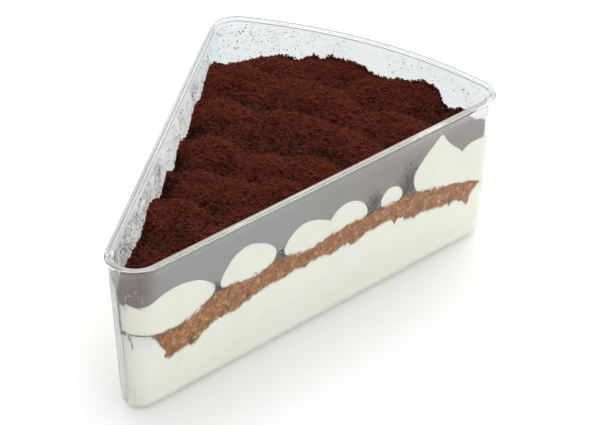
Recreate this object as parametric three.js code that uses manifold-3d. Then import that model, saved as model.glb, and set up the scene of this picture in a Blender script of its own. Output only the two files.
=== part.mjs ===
// A slice of tiramisu in its clear wedge-shaped tub: a cream base, a soaked sponge,
// seven piped ropes of cream laid across the slice, and a thick coat of cocoa.
//
// Millimetres, +Z up. The slice is worked out with its point at x = 0 and its curved back
// towards +X, and the group then moves it so that the origin is under the middle of the tub.
import * as THREE from "three";
import { mergeVertices } from "three/addons/utils/BufferGeometryUtils.js";
import Module from "manifold-3d";

const wasm = await Module();
wasm.setup();

// ---- Driving dimensions ----

// The tub's outline, at the outside of its rim.
const REACH = 125; // from the point where the two sides would meet to the curved back
const HALF_ANGLE = THREE.MathUtils.degToRad(18); // a tenth of a round cake
const BACK_CURVE = 108; // radius of the curved back
const TIP_RADIUS = 6.6;
const BACK_RADIUS = 6.6;

// The tub's section.
const HEIGHT = 37;
const WALL = 0.9;
const FLOOR = 1.1;
const LIP_OUT = 0.65; // how far the rim stands out from the wall
const LIP_HEIGHT = 1.0;
const LIP_EDGE = 0.25; // rounding of the rim's edges
const DRAFT = 1.8; // how far each wall leans in from the rim down to the floor
const FOOT_RADIUS = 2.0;
const INNER_FOOT = 1.2;

// The filling.
const GAP = 0.3; // between solids that touch
const SPONGE_CROWN = 66; // x where the sponge arches highest
const SPONGE_TOP = 20.8;
const SPONGE_UNDER = 16.2;
const SPONGE_END = [24, 18]; // x of its end short of the tub's point, at the floor and at the rim: it leans
const SPONGE_BACK_RADIUS = 13; // the sponge's own back corners are rounder than the tub's
const ROPE_CENTRE = 2.2; // height of a rope's middle above the sponge
const COCOA_VALLEY = 27.4; // height of the cocoa between two ropes
const COCOA_HIGHEST = 31.6;
const COCOA_LEAST = 1.2; // thickness of the cocoa where a rope comes nearest to its surface
const CORNER_DIP = { x: 117, y: 36, depth: 2.4, spread: 14 }; // where the cocoa slopes down into the far corner

// Each rope's middle line, as its x at the front side, halfway across and at the far side;
// its half width and crown height at the front side and in the middle; and the height of
// the cocoa's crest above it.
const ROPES = [
  { x: [26.0, 25.0, 25.5], half: [11.4, 11.0], crown: [28.0, 27.6], crest: 29.0 },
  { x: [45.5, 47.5, 50.0], half: [7.7, 9.0], crown: [28.2, 27.8], crest: 29.6 },
  { x: [61.3, 64.0, 63.5], half: [6.5, 7.2], crown: [27.2, 28.0], crest: 29.8 },
  { x: [73.8, 77.0, 77.0], half: [6.3, 7.2], crown: [26.9, 27.8], crest: 29.4 },
  { x: [86.2, 92.0, 91.5], half: [3.5, 7.6], crown: [25.2, 28.4], crest: 30.4 },
  { x: [100.6, 107.0, 106.0], half: [7.0, 7.2], crown: [28.4, 28.8], crest: 31.0 },
  { x: [113.4, 119.5, 117.5], half: [6.2, 6.4], crown: [26.4, 28.4], crest: 30.6 },
];

// Meshing.
const BLOCK_SPREAD = 44; // half the width of the blocks that cut the filling
const BLOCK_MARGIN = 5; // how far such a block runs past the tub
const FINE_STEP = 3.4; // grid of the cocoa's surface
const COARSE_STEP = 5; // grid of the surfaces inside

// ---- Outline of the wedge ----

// Centres of the outline's roundings. They are the same however far the outline is inset.
function roundings(backRadius) {
  const arc = new THREE.Vector2(REACH - BACK_CURVE, 0);
  const tip = new THREE.Vector2(TIP_RADIUS / Math.sin(HALF_ANGLE), 0);
  // The back corner's centre is backRadius inside the side and BACK_CURVE - backRadius from the arc's centre.
  const along = new THREE.Vector2(Math.cos(HALF_ANGLE), Math.sin(HALF_ANGLE));
  const inward = new THREE.Vector2(Math.sin(HALF_ANGLE), -Math.cos(HALF_ANGLE)).multiplyScalar(backRadius);
  const offset = inward.clone().sub(arc);
  const b = offset.dot(along);
  const c = offset.lengthSq() - (BACK_CURVE - backRadius) ** 2;
  const back = along.clone().multiplyScalar(-b + Math.sqrt(b * b - c)).add(inward);
  return { arc, tip, back };
}

// Points of an arc, both ends included.
function arcPoints(centre, radius, from, to, steps) {
  return Array.from({ length: steps + 1 }, (_, i) => {
    const angle = from + ((to - from) * i) / steps;
    return new THREE.Vector2(centre.x + radius * Math.cos(angle), centre.y + radius * Math.sin(angle));
  });
}

// The wedge's outline, anticlockwise, inset from the outside of the rim.
function outline(inset, backRadius = BACK_RADIUS) {
  const { arc, tip, back } = roundings(backRadius);
  const side = Math.PI / 2 + HALF_ANGLE; // direction a side faces
  const end = Math.atan2(back.y - arc.y, back.x - arc.x); // where the arc meets the corner
  const mirror = new THREE.Vector2(back.x, -back.y);
  return [
    ...arcPoints(tip, TIP_RADIUS - inset, side, 2 * Math.PI - side, 8),
    ...arcPoints(mirror, backRadius - inset, -side, -end, 5),
    ...arcPoints(arc, BACK_CURVE - inset, -end, end, 10).slice(1, -1),
    ...arcPoints(back, backRadius - inset, end, side, 5),
  ];
}

// How far the tub's outside is inset from the outside of its rim, at a height.
const outerInset = (z) => LIP_OUT + DRAFT * (1 - z / HEIGHT);

// ---- Solids ----

// A closed body through rings of points, each a copy of the one before at another height.
function loft(rings) {
  const count = rings[0].length;
  const middle = (ring) => ring.reduce((sum, p) => sum.add(p), new THREE.Vector3()).divideScalar(count);
  const points = [...rings.flat(), middle(rings[0]), middle(rings.at(-1))];
  const [first, last] = [points.length - 2, points.length - 1];
  const index = [];
  for (let i = 0; i < count; i++) {
    const j = (i + 1) % count;
    for (let r = 0; r + 1 < rings.length; r++) {
      const [low, high] = [r * count, (r + 1) * count];
      index.push(low + i, low + j, high + j, low + i, high + j, high + i);
    }
    const top = (rings.length - 1) * count;
    index.push(first, j, i, last, top + i, top + j);
  }
  return new THREE.BufferGeometry().setFromPoints(points).setIndex(index);
}

// Rings of the wedge's outline at a list of [inset, height].
function wedgeRings(profile, backRadius = BACK_RADIUS) {
  return profile.map(([inset, z]) => outline(inset, backRadius).map((p) => new THREE.Vector3(p.x, p.y, z)));
}

// The profile of a rounded foot: from the flat underneath up to the wall.
function footProfile(inset, radius, floor, steps = 4) {
  return Array.from({ length: steps + 1 }, (_, i) => {
    const turn = ((Math.PI / 2) * i) / steps;
    const z = floor + radius * (1 - Math.cos(turn));
    return [inset(z) + radius * (1 - Math.sin(turn)), z];
  });
}

// A block on a square grid between two height functions, wide enough to cover the tub.
function slab(under, over, step = COARSE_STEP) {
  const [left, right, reach] = [-BLOCK_MARGIN, REACH + BLOCK_MARGIN, BLOCK_SPREAD];
  const [nx, ny] = [Math.ceil((right - left) / step), Math.ceil((2 * reach) / step)];
  const points = [];
  for (const height of [under, over])
    for (let i = 0; i <= nx; i++)
      for (let j = 0; j <= ny; j++) {
        const [x, y] = [left + ((right - left) * i) / nx, -reach + (2 * reach * j) / ny];
        points.push(new THREE.Vector3(x, y, height(x, y)));
      }
  const at = (level, i, j) => (level * (nx + 1) + i) * (ny + 1) + j;
  const index = [];
  const quad = (a, b, c, d) => index.push(a, b, c, a, c, d);
  for (let i = 0; i < nx; i++)
    for (let j = 0; j < ny; j++) {
      quad(at(1, i, j), at(1, i + 1, j), at(1, i + 1, j + 1), at(1, i, j + 1));
      quad(at(0, i, j), at(0, i, j + 1), at(0, i + 1, j + 1), at(0, i + 1, j));
    }
  for (let i = 0; i < nx; i++) {
    quad(at(0, i, 0), at(0, i + 1, 0), at(1, i + 1, 0), at(1, i, 0));
    quad(at(0, i + 1, ny), at(0, i, ny), at(1, i, ny), at(1, i + 1, ny));
  }
  for (let j = 0; j < ny; j++) {
    quad(at(0, 0, j + 1), at(0, 0, j), at(1, 0, j), at(1, 0, j + 1));
    quad(at(0, nx, j), at(0, nx, j + 1), at(1, nx, j + 1), at(1, nx, j));
  }
  return new THREE.BufferGeometry().setFromPoints(points).setIndex(index);
}

// A closed three.js geometry as a manifold-3d solid, and back again.
function solid(geometry) {
  const merged = mergeVertices(geometry, 1e-4);
  const triVerts = new Uint32Array(merged.index.array);
  return new wasm.Manifold(new wasm.Mesh({ numProp: 3, vertProperties: merged.attributes.position.array, triVerts }));
}

function geometryOf(manifold) {
  const { vertProperties, triVerts, numProp, numVert } = manifold.getMesh();
  const places = new Float32Array(numVert * 3);
  for (let i = 0; i < numVert; i++) places.set(vertProperties.subarray(i * numProp, i * numProp + 3), i * 3);
  const geometry = new THREE.BufferGeometry().setAttribute("position", new THREE.BufferAttribute(places, 3));
  return geometry.setIndex(new THREE.BufferAttribute(triVerts, 1));
}

// ---- The tub ----

function tubGeometry() {
  const inner = (z) => outerInset(z) + WALL;
  const lipUnder = HEIGHT - LIP_HEIGHT;
  const profile = [
    ...footProfile(outerInset, FOOT_RADIUS, 0),
    [outerInset(lipUnder - LIP_OUT / 2), lipUnder - LIP_OUT / 2],
    [LIP_EDGE, lipUnder],
    [0, lipUnder + LIP_EDGE],
    [0, HEIGHT - LIP_EDGE],
    [LIP_EDGE, HEIGHT],
    [LIP_OUT + WALL - LIP_EDGE, HEIGHT],
    [inner(HEIGHT - LIP_EDGE), HEIGHT - LIP_EDGE],
    ...footProfile(inner, INNER_FOOT, FLOOR).reverse(),
  ];
  return loft(wedgeRings(profile));
}

// Everything that the filling may take up: the tub's inside, a gap clear of its wall and floor.
function fillBlock() {
  const inset = (z) => outerInset(z) + WALL + GAP;
  const profile = [...footProfile(inset, INNER_FOOT, FLOOR + GAP), [inset(HEIGHT), HEIGHT]];
  return solid(loft(wedgeRings(profile)));
}

// ---- The filling's surfaces ----

// The arch of the sponge, as a drop from its crown, steeper towards the back.
const archDrop = (x, front, back) => (x < SPONGE_CROWN ? front : back) * (x - SPONGE_CROWN) ** 2;
const spongeTop = (x, y) => SPONGE_TOP - archDrop(x, 0.0017, 0.003) + 0.35 * Math.sin(x / 5 + y / 7);
const spongeUnder = (x, y) => SPONGE_UNDER - archDrop(x, 0.0027, 0.0029) - 0.4 * Math.sin(x / 6 - y / 5);

// How far across the slice a point is: -1 at the front side, 0 in the middle, 1 at the far side.
const across = (x, y) => y / Math.max(x * Math.tan(HALF_ANGLE), 1);

// A value given at the front side, halfway and at the far side, anywhere across the slice.
function blend([front, middle, far], v) {
  return middle + ((far - front) * v) / 2 + (((far + front) / 2 - middle) * v * v);
}

// Height of the cocoa: a rounded ridge over each rope, uneven along its length.
function cocoaTop(x, y) {
  const v = across(x, y);
  let z = COCOA_VALLEY;
  ROPES.forEach((rope, i) => {
    const r = (x - blend(rope.x, v)) / (rope.half[1] + 1.5);
    if (Math.abs(r) < 1) {
      const crest = rope.crest + 0.5 * Math.sin(2.3 * i + 4 * v);
      z += (crest - COCOA_VALLEY) * Math.cos((Math.PI / 2) * r) ** 2;
    }
  });
  const fromCorner = Math.hypot(x - CORNER_DIP.x, y - CORNER_DIP.y) / CORNER_DIP.spread;
  z -= CORNER_DIP.depth * Math.exp(-(fromCorner ** 2));
  return Math.min(z, COCOA_HIGHEST);
}

// ---- The filling's solids ----

const block = fillBlock();
const whole = (under, over, step) => block.intersect(solid(slab(under, over, step)));

// The largest body of a cut solid, without the slivers that the cut leaves beside a wall.
const largest = (cut) => cut.decompose().reduce((a, b) => (a.volume() > b.volume() ? a : b));

// Everything from the sponge's leaning end to the back of the tub, swollen by a clearance.
function pastSpongeEnd(clearance) {
  const shape = new THREE.Shape([
    new THREE.Vector2(SPONGE_END[0] - clearance, 0),
    new THREE.Vector2(REACH + BLOCK_MARGIN, 0),
    new THREE.Vector2(REACH + BLOCK_MARGIN, HEIGHT),
    new THREE.Vector2(SPONGE_END[1] - clearance, HEIGHT),
  ]);
  const body = new THREE.ExtrudeGeometry(shape, { depth: 2 * BLOCK_SPREAD, bevelEnabled: false });
  body.rotateX(Math.PI / 2).translate(0, BLOCK_SPREAD, 0);
  body.deleteAttribute("normal").deleteAttribute("uv");
  return solid(body);
}

// The sponge's own plan, the fill's sides with rounder corners at the back, swollen by a clearance.
function spongePlan(clearance) {
  const inset = (z) => outerInset(z) + WALL + GAP - clearance;
  return solid(loft(wedgeRings([[inset(0), 0], [inset(HEIGHT), HEIGHT]], SPONGE_BACK_RADIUS)));
}

// The sponge with its end and corners cut, or the hollow that it takes up in the cream base.
function spongeSolid() {
  return whole(spongeUnder, spongeTop).intersect(pastSpongeEnd(0)).intersect(spongePlan(0));
}

function spongeHollow() {
  const under = (x, y) => spongeUnder(x, y) - GAP;
  return solid(slab(under, () => HEIGHT)).intersect(pastSpongeEnd(GAP)).intersect(spongePlan(GAP));
}

// One rope before the sponge and its neighbour cut it, swollen by a clearance. It runs across
// the slice past both sides, and keeps just under the cocoa's surface.
function ropeSolid(rope, clearance) {
  const [sections, corners, overrun] = [9, 16, 1.2];
  const rings = Array.from({ length: sections }, (_, k) => {
    const v = overrun * (1 - (2 * k) / (sections - 1));
    const frontness = Math.max(-v, 0) ** 2;
    const half = THREE.MathUtils.lerp(rope.half[1], rope.half[0], frontness) + clearance;
    const crown = THREE.MathUtils.lerp(rope.crown[1], rope.crown[0], frontness) + clearance;
    const x = blend(rope.x, v);
    const centre = spongeTop(x, 0) + ROPE_CENTRE;
    return Array.from({ length: corners }, (_, i) => {
      const turn = (2 * Math.PI * i) / corners;
      const px = x + half * Math.cos(turn);
      return new THREE.Vector3(px, v * px * Math.tan(HALF_ANGLE), centre + (crown - centre) * Math.sin(turn));
    });
  });
  const ceiling = (x, y) => cocoaTop(x, y) - COCOA_LEAST + clearance;
  return solid(loft(rings)).intersect(solid(slab(() => 0, ceiling)));
}

const sponge = spongeSolid();
const creamBase = whole(() => 0, (x, y) => spongeTop(x, y) - GAP).subtract(spongeHollow());

// What lies on the sponge: each rope gives way to the one before it, and the cocoa to them all.
const aboveSponge = whole((x, y) => spongeTop(x, y) + GAP, () => HEIGHT);
const swollen = ROPES.map((rope) => ropeSolid(rope, GAP));
const ropes = ROPES.map((rope, i) => {
  const laid = ropeSolid(rope, 0).intersect(aboveSponge);
  return largest(i ? laid.subtract(swollen[i - 1]) : laid);
});
const underSurface = aboveSponge.intersect(solid(slab(() => 0, cocoaTop, FINE_STEP)));
const cocoa = largest(swollen.reduce((left, rope) => left.subtract(rope), underSurface));

// ---- The group ----

const clear = new THREE.MeshStandardMaterial({
  color: 0xe9f0ef,
  roughness: 0.08,
  transparent: true,
  opacity: 0.35,
});
const cream = new THREE.MeshStandardMaterial({ color: 0xe9ebdf, roughness: 0.5 });
const baseCream = new THREE.MeshStandardMaterial({ color: 0xe4e6d8, roughness: 0.5 });
const soaked = new THREE.MeshStandardMaterial({ color: 0xa9784f, roughness: 0.85 });
const powder = new THREE.MeshStandardMaterial({ color: 0x46221a, roughness: 1 });

const slice = new THREE.Group();
slice.position.x = -(REACH + roundings(BACK_RADIUS).tip.x - TIP_RADIUS) / 2;

function add(name, geometry, material) {
  const mesh = new THREE.Mesh(geometry, material);
  mesh.name = name;
  slice.add(mesh);
}

add("tub", tubGeometry(), clear);
add("cream_base", geometryOf(creamBase), baseCream);
add("sponge", geometryOf(sponge), soaked);
ropes.forEach((rope, i) => add(`cream_rope_${i + 1}`, geometryOf(rope), cream));
add("cocoa", geometryOf(cocoa), powder);

export default slice;
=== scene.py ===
"""A slice of tiramisu in its clear wedge-shaped tub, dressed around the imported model.

Shapes are worked out in millimetres, with the virtual point where the tub's two sides would meet at
x = 0 and its curved back towards +X. A Surface moves them into the model's own frame, in metres.

A place on the tub's wall is given by a station and a height. The station is the distance from the
virtual point along a side. It starts at TIP_STATION on the middle line of the rounded tip, and runs
on round the back corner to the middle of the curved back. The front side faces -Y, the far side +Y.
"""

import logging
import math
from collections.abc import Callable, Sequence
from dataclasses import dataclass
from enum import Enum

import bmesh
import bpy
import numpy as np
from mathutils import Matrix, Vector


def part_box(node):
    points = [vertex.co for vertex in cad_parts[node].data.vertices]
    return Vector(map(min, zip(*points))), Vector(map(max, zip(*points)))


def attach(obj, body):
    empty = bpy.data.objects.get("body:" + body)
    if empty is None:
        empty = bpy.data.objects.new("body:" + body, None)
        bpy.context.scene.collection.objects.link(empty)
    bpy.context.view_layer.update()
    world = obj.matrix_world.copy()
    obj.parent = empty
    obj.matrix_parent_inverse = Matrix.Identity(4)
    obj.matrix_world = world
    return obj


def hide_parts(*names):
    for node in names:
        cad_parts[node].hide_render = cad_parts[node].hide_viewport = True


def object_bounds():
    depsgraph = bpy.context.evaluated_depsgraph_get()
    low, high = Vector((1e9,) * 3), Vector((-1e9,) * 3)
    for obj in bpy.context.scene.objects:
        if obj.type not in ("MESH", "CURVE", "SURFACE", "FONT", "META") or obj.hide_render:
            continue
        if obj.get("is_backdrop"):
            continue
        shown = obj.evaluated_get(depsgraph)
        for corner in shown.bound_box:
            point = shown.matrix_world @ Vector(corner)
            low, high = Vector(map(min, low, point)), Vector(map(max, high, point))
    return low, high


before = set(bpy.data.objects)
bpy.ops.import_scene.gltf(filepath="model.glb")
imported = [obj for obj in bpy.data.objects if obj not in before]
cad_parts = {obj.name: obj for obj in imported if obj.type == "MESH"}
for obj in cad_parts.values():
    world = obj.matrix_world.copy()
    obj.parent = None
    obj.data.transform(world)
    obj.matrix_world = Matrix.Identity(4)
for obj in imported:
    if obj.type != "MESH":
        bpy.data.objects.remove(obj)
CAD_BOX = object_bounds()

MM = 0.001
TIP_STATION = 15.0
BODY = "root"

Array = np.ndarray
Material = bpy.types.Material
Pairs = Sequence[tuple[float, float]]
StationLine = Callable[[Array, Array], Array]
HeightByX = Callable[[Array], Array]

log = logging.getLogger("slice")


class Slot(Enum):
    """The record's material slots."""

    CLEAR_PLASTIC = "clear_plastic"
    BASE_CREAM = "base_cream"
    PIPED_CREAM = "piped_cream"
    SPONGE = "soaked_sponge"
    COCOA = "cocoa_powder"


class Side(Enum):
    """The two long sides of the tub, by the sign of their Y."""

    FRONT = -1
    FAR = 1


WallPlace = tuple[float, Side]


# ---- Numbers ----


def smoothstep(value: Array | float, start: float = 0.0, end: float = 1.0) -> Array:
    """Rises smoothly from 0 at start to 1 at end."""
    t = np.clip((np.asarray(value, float) - start) / (end - start), 0.0, 1.0)
    return t * t * (3.0 - 2.0 * t)


def curve_through(points: Pairs) -> Callable[[Array], Array]:
    """A smooth curve through a few points, flat past both ends.

    Args:
        points: (place, value) pairs in rising order of place.

    Returns:
        A function that gives the value at any place.
    """
    places, values = np.array(points, float).T
    slopes = np.gradient(values, places)
    slopes[[0, -1]] = 0.0

    def at(where: Array) -> Array:
        """The curve's value at each place.

        Args:
            where: places along the curve.

        Returns:
            The value at each place.
        """
        where = np.clip(np.asarray(where, float), places[0], places[-1])
        i = np.clip(np.searchsorted(places, where, side="right") - 1, 0, len(places) - 2)
        span = places[i + 1] - places[i]
        t = (where - places[i]) / span
        rise = (3.0 - 2.0 * t) * t * t
        return (
            values[i] * (1.0 - rise)
            + values[i + 1] * rise
            + span * t * (1.0 - t) * (slopes[i] * (1.0 - t) - slopes[i + 1] * t)
        )

    return at


class Unevenness:
    """Smooth seeded noise over a plane, between about -1 and 1."""

    SIZE = 256
    TURN = 0.65
    STEP = 31.7

    def __init__(self, seed: int) -> None:
        """Draws the noise's own table of values."""
        self.table = np.random.default_rng(seed).uniform(-1.0, 1.0, (self.SIZE, self.SIZE))

    def at(
        self,
        x: Array,
        y: Array,
        size: float,
        octaves: int = 1,
        keep: float = 0.5,
    ) -> Array:
        """Noise at each point.

        Args:
            x: first coordinate of the points.
            y: second coordinate.
            size: spacing of the largest bumps, in the points' unit.
            octaves: how many times finer bumps are added, each half the size of the last.
            keep: strength of each octave against the one before.

        Returns:
            The noise, with the first octave between -1 and 1.
        """
        total = np.zeros(np.broadcast(x, y).shape)
        strength = 1.0
        cos, sin = math.cos(self.TURN), math.sin(self.TURN)
        for _ in range(octaves):
            x, y = np.asarray(x), np.asarray(y)
            total = total + strength * self._one(x / size, y / size)
            x, y = x * cos - y * sin + self.STEP, x * sin + y * cos
            size, strength = size / 2.0, strength * keep
        return total

    def _one(self, u: Array, v: Array) -> Array:
        """One octave, on a grid of spacing 1.

        Args:
            u: first coordinate.
            v: second coordinate.

        Returns:
            The noise at each point.
        """
        i, j = np.floor(u).astype(int), np.floor(v).astype(int)
        fu, fv = smoothstep(u - i), smoothstep(v - j)
        i0, i1, j0, j1 = i % self.SIZE, (i + 1) % self.SIZE, j % self.SIZE, (j + 1) % self.SIZE
        low = self.table[i0, j0] * (1 - fu) + self.table[i1, j0] * fu
        high = self.table[i0, j1] * (1 - fu) + self.table[i1, j1] * fu
        return low * (1 - fv) + high * fv


# ---- The tub's plan ----


@dataclass(frozen=True)
class Outline:
    """Points once round the outside of the rim, anticlockwise from the tip's far end."""

    points: Array
    normals: Array
    station: Array
    side: Array

    @property
    def run(self) -> Array:
        """Distance along the rim from the first point."""
        steps = np.hypot(*np.diff(self.points, axis=0).T)
        return np.concatenate([[0.0], np.cumsum(steps)])

    def run_at(self, station: Array, side: Side) -> Array:
        """Distance along the rim at a station of one side.

        Args:
            station: places on the side.
            side: which side.

        Returns:
            The distance to each place.
        """
        keep = self.side == side.value
        order = np.argsort(self.station[keep])
        return np.interp(station, self.station[keep][order], self.run[keep][order])

    def on_wall(self, run: Array, distance: Array, z: Array) -> Array:
        """Points in space by the distance along the rim, the distance in from it, and the height.

        Args:
            run: distance along the rim.
            distance: how far in from the rim.
            z: height.

        Returns:
            The points, of shape (n, 3).
        """
        columns = np.column_stack([self.points, self.normals])
        px, py, nx, ny = (np.interp(run, self.run, column) for column in columns.T)
        return np.column_stack([px - nx * distance, py - ny * distance, np.broadcast_to(z, np.shape(run))])

    def inset(self, distance: Array | float) -> Array:
        """The outline drawn in by a distance, the same all round or one for each point."""
        return self.points - self.normals * np.reshape(distance, (-1, 1))

    def ring(self, distance: Array | float, height: Array | float) -> Array:
        """The inset outline at a height, as points in space."""
        plan = self.inset(distance)
        return np.column_stack([plan, np.broadcast_to(height, len(plan))])


@dataclass(frozen=True)
class Wedge:
    """The tub's plan and section, in millimetres."""

    length: float
    height: float
    half_angle: float = math.radians(18)
    back_curve: float = 108.0
    tip_radius: float = 6.6
    corner_radius: float = 6.6
    wall: float = 0.9
    floor: float = 1.1
    lip_out: float = 0.65
    lip_height: float = 1.0
    lip_edge: float = 0.25
    draft: float = 1.8
    foot_radius: float = 2.0
    inner_foot: float = 1.2

    @classmethod
    def from_model(cls) -> "Wedge":
        """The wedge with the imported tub's length and height."""
        low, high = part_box("tub")
        return cls(length=(high.x - low.x) / MM, height=(high.z - low.z) / MM)

    @property
    def tip_x(self) -> float:
        """Where the tip's rounding has its centre."""
        return self.tip_radius / math.sin(self.half_angle)

    @property
    def reach(self) -> float:
        """From the virtual point to the curved back."""
        return self.length + self.tip_x - self.tip_radius

    @property
    def arc_x(self) -> float:
        """Where the curved back has its centre."""
        return self.reach - self.back_curve

    @property
    def tip_end(self) -> float:
        """Station where the tip's rounding runs into the side."""
        return self.tip_radius / math.tan(self.half_angle)

    @property
    def corner(self) -> tuple[float, float, float]:
        """The far back corner's centre, as x and y, and the station where its rounding begins.

        Returns:
            The centre's x and y, and the station.
        """
        along = np.array([math.cos(self.half_angle), math.sin(self.half_angle)])
        inward = np.array([math.sin(self.half_angle), -math.cos(self.half_angle)]) * self.corner_radius
        offset = inward - (self.arc_x, 0.0)
        b = offset @ along
        c = offset @ offset - (self.back_curve - self.corner_radius) ** 2
        station = -b + math.sqrt(b * b - c)
        centre = along * station + inward
        return float(centre[0]), float(centre[1]), station

    def outer(self, z: Array | float) -> Array | float:
        """How far the outside of the wall is inset from the rim, at a height."""
        return self.lip_out + self.draft * (1.0 - z / self.height)

    def inner(self, z: Array | float) -> Array:
        """How far the inside of the wall is inset from the rim, its rounded foot included.

        Args:
            z: height.

        Returns:
            The inset at each height.
        """
        z = np.asarray(z, float)
        cos = np.clip(1.0 - (z - self.floor) / self.inner_foot, 0.0, 1.0)
        foot = np.where(z < self.floor + self.inner_foot, 1.0 - np.sqrt(1.0 - cos * cos), 0.0)
        return self.outer(z) + self.wall + self.inner_foot * foot

    def trace(self, spacing: float) -> Outline:
        """The outline in even steps.

        Args:
            spacing: about how far apart the points are, in millimetres.

        Returns:
            The outline at the outside of the rim.
        """
        bx, by, corner_station = self.corner
        side_angle = math.pi / 2 + self.half_angle
        end = math.atan2(by, bx - self.arc_x)
        pieces: list[tuple[Array, Array, Array]] = []

        def arc(
            centre: tuple[float, float],
            radius: float,
            start: float,
            stop: float,
            stations: tuple[float, float],
        ) -> None:
            """Adds an arc whose stations run evenly between two values.

            Args:
                centre: the arc's centre.
                radius: its radius.
                start: angle where it starts.
                stop: angle where it ends.
                stations: the two values.
            """
            steps = max(2, round(abs(stop - start) * radius / spacing))
            t = np.arange(steps) / steps
            angle = start + (stop - start) * t
            normals = np.column_stack([np.cos(angle), np.sin(angle)])
            first, last = stations
            pieces.append((np.array(centre) + radius * normals, normals, first + (last - first) * t))

        def line(sign: float, start: float, stop: float) -> None:
            """Adds a straight side between two stations.

            Args:
                sign: -1 for the front side, 1 for the far side.
                start: first station.
                stop: last station.
            """
            steps = max(2, round(abs(stop - start) / spacing))
            station = start + (stop - start) * np.arange(steps) / steps
            along = np.array([math.cos(self.half_angle), sign * math.sin(self.half_angle)])
            normal = np.array([-math.sin(self.half_angle), sign * math.cos(self.half_angle)])
            pieces.append((station[:, None] * along, np.tile(normal, (steps, 1)), station))

        corner_end = corner_station + self.corner_radius * (side_angle - end)
        middle = corner_end + self.back_curve * end
        tip = (self.tip_x, 0.0)
        arc(tip, self.tip_radius, side_angle, math.pi, (self.tip_end, TIP_STATION))
        arc(tip, self.tip_radius, math.pi, 2 * math.pi - side_angle, (TIP_STATION, self.tip_end))
        line(-1.0, self.tip_end, corner_station)
        arc((bx, -by), self.corner_radius, -side_angle, -end, (corner_station, corner_end))
        arc((self.arc_x, 0.0), self.back_curve, -end, 0.0, (corner_end, middle))
        arc((self.arc_x, 0.0), self.back_curve, 0.0, end, (middle, corner_end))
        arc((bx, by), self.corner_radius, end, side_angle, (corner_end, corner_station))
        line(1.0, corner_station, self.tip_end)
        points, normals, station = (np.concatenate(part) for part in zip(*pieces))
        return Outline(points, normals, station, np.where(points[:, 1] > 0, 1.0, -1.0))

    def side_place(self, station: Array, inset: Array) -> tuple[Array, Array]:
        """Plan position of places along the tip and the straight side.

        Args:
            station: places along the side.
            inset: how far each is drawn in from the outside of the rim.

        Returns:
            Each place's x, and its distance from the middle line.
        """
        radius = self.tip_radius - inset
        quarter = math.pi / 2 - self.half_angle
        turn = quarter * np.clip((station - TIP_STATION) / (self.tip_end - TIP_STATION), 0.0, 1.0)
        sin, cos = math.sin(self.half_angle), math.cos(self.half_angle)
        on_side = station > self.tip_end
        x = np.where(on_side, station * cos + inset * sin, self.tip_x - radius * np.cos(turn))
        width = np.where(on_side, station * sin - inset * cos, radius * np.sin(turn))
        return x, width

    def holds(self, x: Array, y: Array, inset: float) -> Array:
        """Whether plan points lie inside the outline drawn in by an inset.

        Args:
            x: plan position of the points.
            y: the same across the slice.
            inset: how far in from the rim.

        Returns:
            True for each point inside.
        """
        sin, cos = math.sin(self.half_angle), math.cos(self.half_angle)
        bx, by, _ = self.corner
        sides = x * sin - np.abs(y) * cos > inset
        back = np.hypot(x - self.arc_x, y) < self.back_curve - inset
        tip = (x > self.tip_x) | (np.hypot(x - self.tip_x, y) < self.tip_radius - inset)
        in_corner = (x > bx) & (np.abs(y) > by)
        corner = ~in_corner | (np.hypot(x - bx, np.abs(y) - by) < self.corner_radius - inset)
        return sides & back & tip & corner


# ---- Meshes ----


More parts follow.
